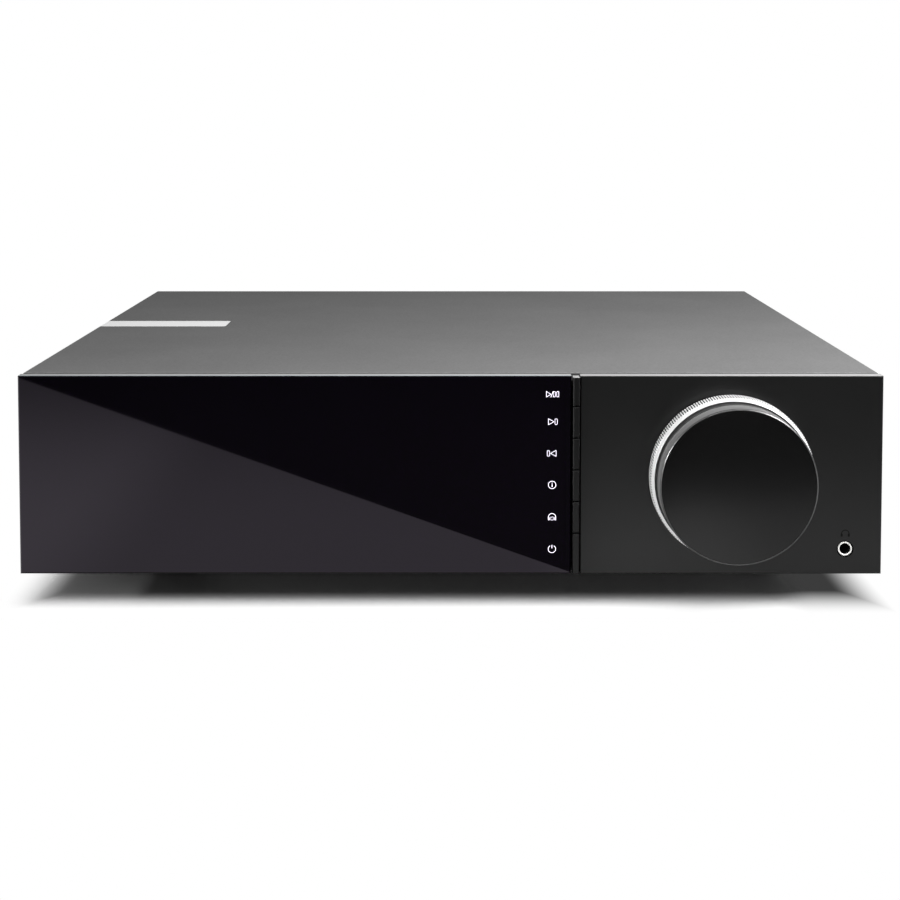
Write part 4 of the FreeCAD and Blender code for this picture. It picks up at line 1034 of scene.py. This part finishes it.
# Digital sockets. Tinned steel shells for the network, data and picture sockets, with gilt springs,
# black tongues and two lamps inside, and a black body with a grey sprung flap for the optical socket.
# All are soldered to the main board.
dress(speckled("socket_steel", tone(178), tone(204), 0.0007, 0.22, 0.15, metallic=1.0),
      "hdmi_socket", "usb_socket", "network_socket")


def bevelled_block(name, low, high, edge):
    """A moulded block between two corners, given in metres, with its edges rounded off."""
    bpy.ops.object.select_all(action="DESELECT")
    middle = [(a + b) / 2 for a, b in zip(low, high)]
    bpy.ops.mesh.primitive_cube_add(size=1, location=middle)
    piece = bpy.context.object
    bpy.ops.object.mode_set(mode="EDIT")
    bpy.ops.mesh.select_all(action="SELECT")
    bpy.ops.transform.resize(value=[b - a for a, b in zip(low, high)], center_override=middle)
    bpy.ops.mesh.bevel(affect="EDGES", offset=edge, segments=2)
    bpy.ops.object.mode_set(mode="OBJECT")
    return settled(piece, name)


def spring(name, x, path, width, thick):
    """A contact spring, bent along a path of (y, z) in metres."""
    bpy.ops.object.select_all(action="DESELECT")
    bpy.ops.mesh.primitive_plane_add(size=width, location=(x, path[0][0], path[0][1]))
    piece = bpy.context.object
    bpy.ops.object.mode_set(mode="EDIT")
    bpy.ops.mesh.select_all(action="SELECT")
    bpy.ops.transform.resize(value=(1, 0, 1), center_override=(x, path[0][0], path[0][1]))
    bpy.ops.mesh.remove_doubles(threshold=width / 10)
    for here, there in zip(path, path[1:]):
        bpy.ops.mesh.extrude_region_move(
            TRANSFORM_OT_translate={"value": (0, there[0] - here[0], there[1] - here[1])})
    bpy.ops.object.mode_set(mode="OBJECT")
    body = piece.modifiers.new("thickness", "SOLIDIFY")
    body.thickness = thick
    bpy.ops.object.modifier_apply(modifier=body.name)
    return settled(piece, name)


network_low, network_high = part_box("network_socket")
network_x = (network_low.x + network_high.x) / 2
mouth_top = network_low.z + 11.6 * mm
network_springs = [
    spring("network_spring", network_x + (number - 3.5) * 1.02 * mm, [
        (network_high.y - 1.4 * mm, mouth_top - 0.3 * mm), (network_high.y - 2.2 * mm, mouth_top - 0.5 * mm),
        (network_high.y - 9.0 * mm, mouth_top - 3.2 * mm)], 0.45 * mm, 0.2 * mm) for number in range(8)]
usb_low, usb_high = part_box("usb_socket")
usb_x = (usb_low.x + usb_high.x) / 2
usb_springs = [
    spring("usb_spring", usb_x + (number - 1.5) * 2.2 * mm, [
        (usb_high.y - 2.3 * mm, usb_high.z - 2.5 * mm), (usb_high.y - 8.0 * mm, usb_high.z - 2.5 * mm)],
        1.0 * mm, 0.15 * mm) for number in range(4)]
hdmi_low, hdmi_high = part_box("hdmi_socket")
hdmi_x = (hdmi_low.x + hdmi_high.x) / 2
hdmi_middle = (hdmi_low.z + hdmi_high.z) / 2
hdmi_springs = [
    spring("hdmi_spring", hdmi_x + (number - 4.5) * 1.0 * mm, [
        (hdmi_high.y - 2.4 * mm, hdmi_middle + 0.68 * mm), (hdmi_high.y - 8.0 * mm, hdmi_middle + 0.68 * mm)],
        0.5 * mm, 0.1 * mm) for number in range(10)]
springs = joined_as("socket_contacts", network_springs + usb_springs + hdmi_springs)
springs.data.materials.append(post_gold)
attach(springs, "case")
tongues = joined_as("socket_tongues", [
    bevelled_block("usb_tongue", (usb_x - 5.35 * mm, usb_high.y - 13.0 * mm, usb_high.z - 2.28 * mm),
                   (usb_x + 5.35 * mm, usb_high.y - 2.05 * mm, usb_high.z - 0.45 * mm), 0.15 * mm),
    bevelled_block("hdmi_tongue", (hdmi_x - 5.55 * mm, hdmi_high.y - 11.0 * mm, hdmi_middle - 0.65 * mm),
                   (hdmi_x + 5.55 * mm, hdmi_high.y - 2.05 * mm, hdmi_middle + 0.65 * mm), 0.12 * mm)])
tongues.data.materials.append(speckled("tongue_black", tone(20), tone(28), 0.0004, 0.4, 0.1))
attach(tongues, "case")
for name, side, colour in (("network_lamp_green", -1, (tone(70, 150, 60), tone(84, 166, 72))),
                           ("network_lamp_amber", 1, (tone(196, 130, 30), tone(212, 146, 40)))):
    lamp_x = network_x + side * 5.4 * mm
    lamp = bevelled_block(name, (lamp_x - 1.5 * mm, network_high.y - 0.6 * mm, mouth_top + 0.5 * mm),
                          (lamp_x + 1.5 * mm, network_high.y + 0.12 * mm, mouth_top + 1.5 * mm), 0.1 * mm)
    lamp.data.materials.append(cap_finish(name, *colour))
    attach(lamp, "case")

dress(speckled("optical_black", tone(18), tone(25), 0.0006, 0.4, 0.1), "optical_socket")
dress(speckled("flap_grey", tone(84), tone(98), 0.0005, 0.4, 0.1), "optical_flap")


# Boards inside. Green laminate with its parts soldered on, each board on its pillars, and the black
# anodised heatsink, an extrusion that cools the amplifier board.
dress(board_green, "main_board", "streaming_module", "power_supply", "amplifier_board")
dress(speckled("sink_black", tone(24), tone(34), 0.0008, 0.4, 0.12, metallic=0.6), "heatsink")
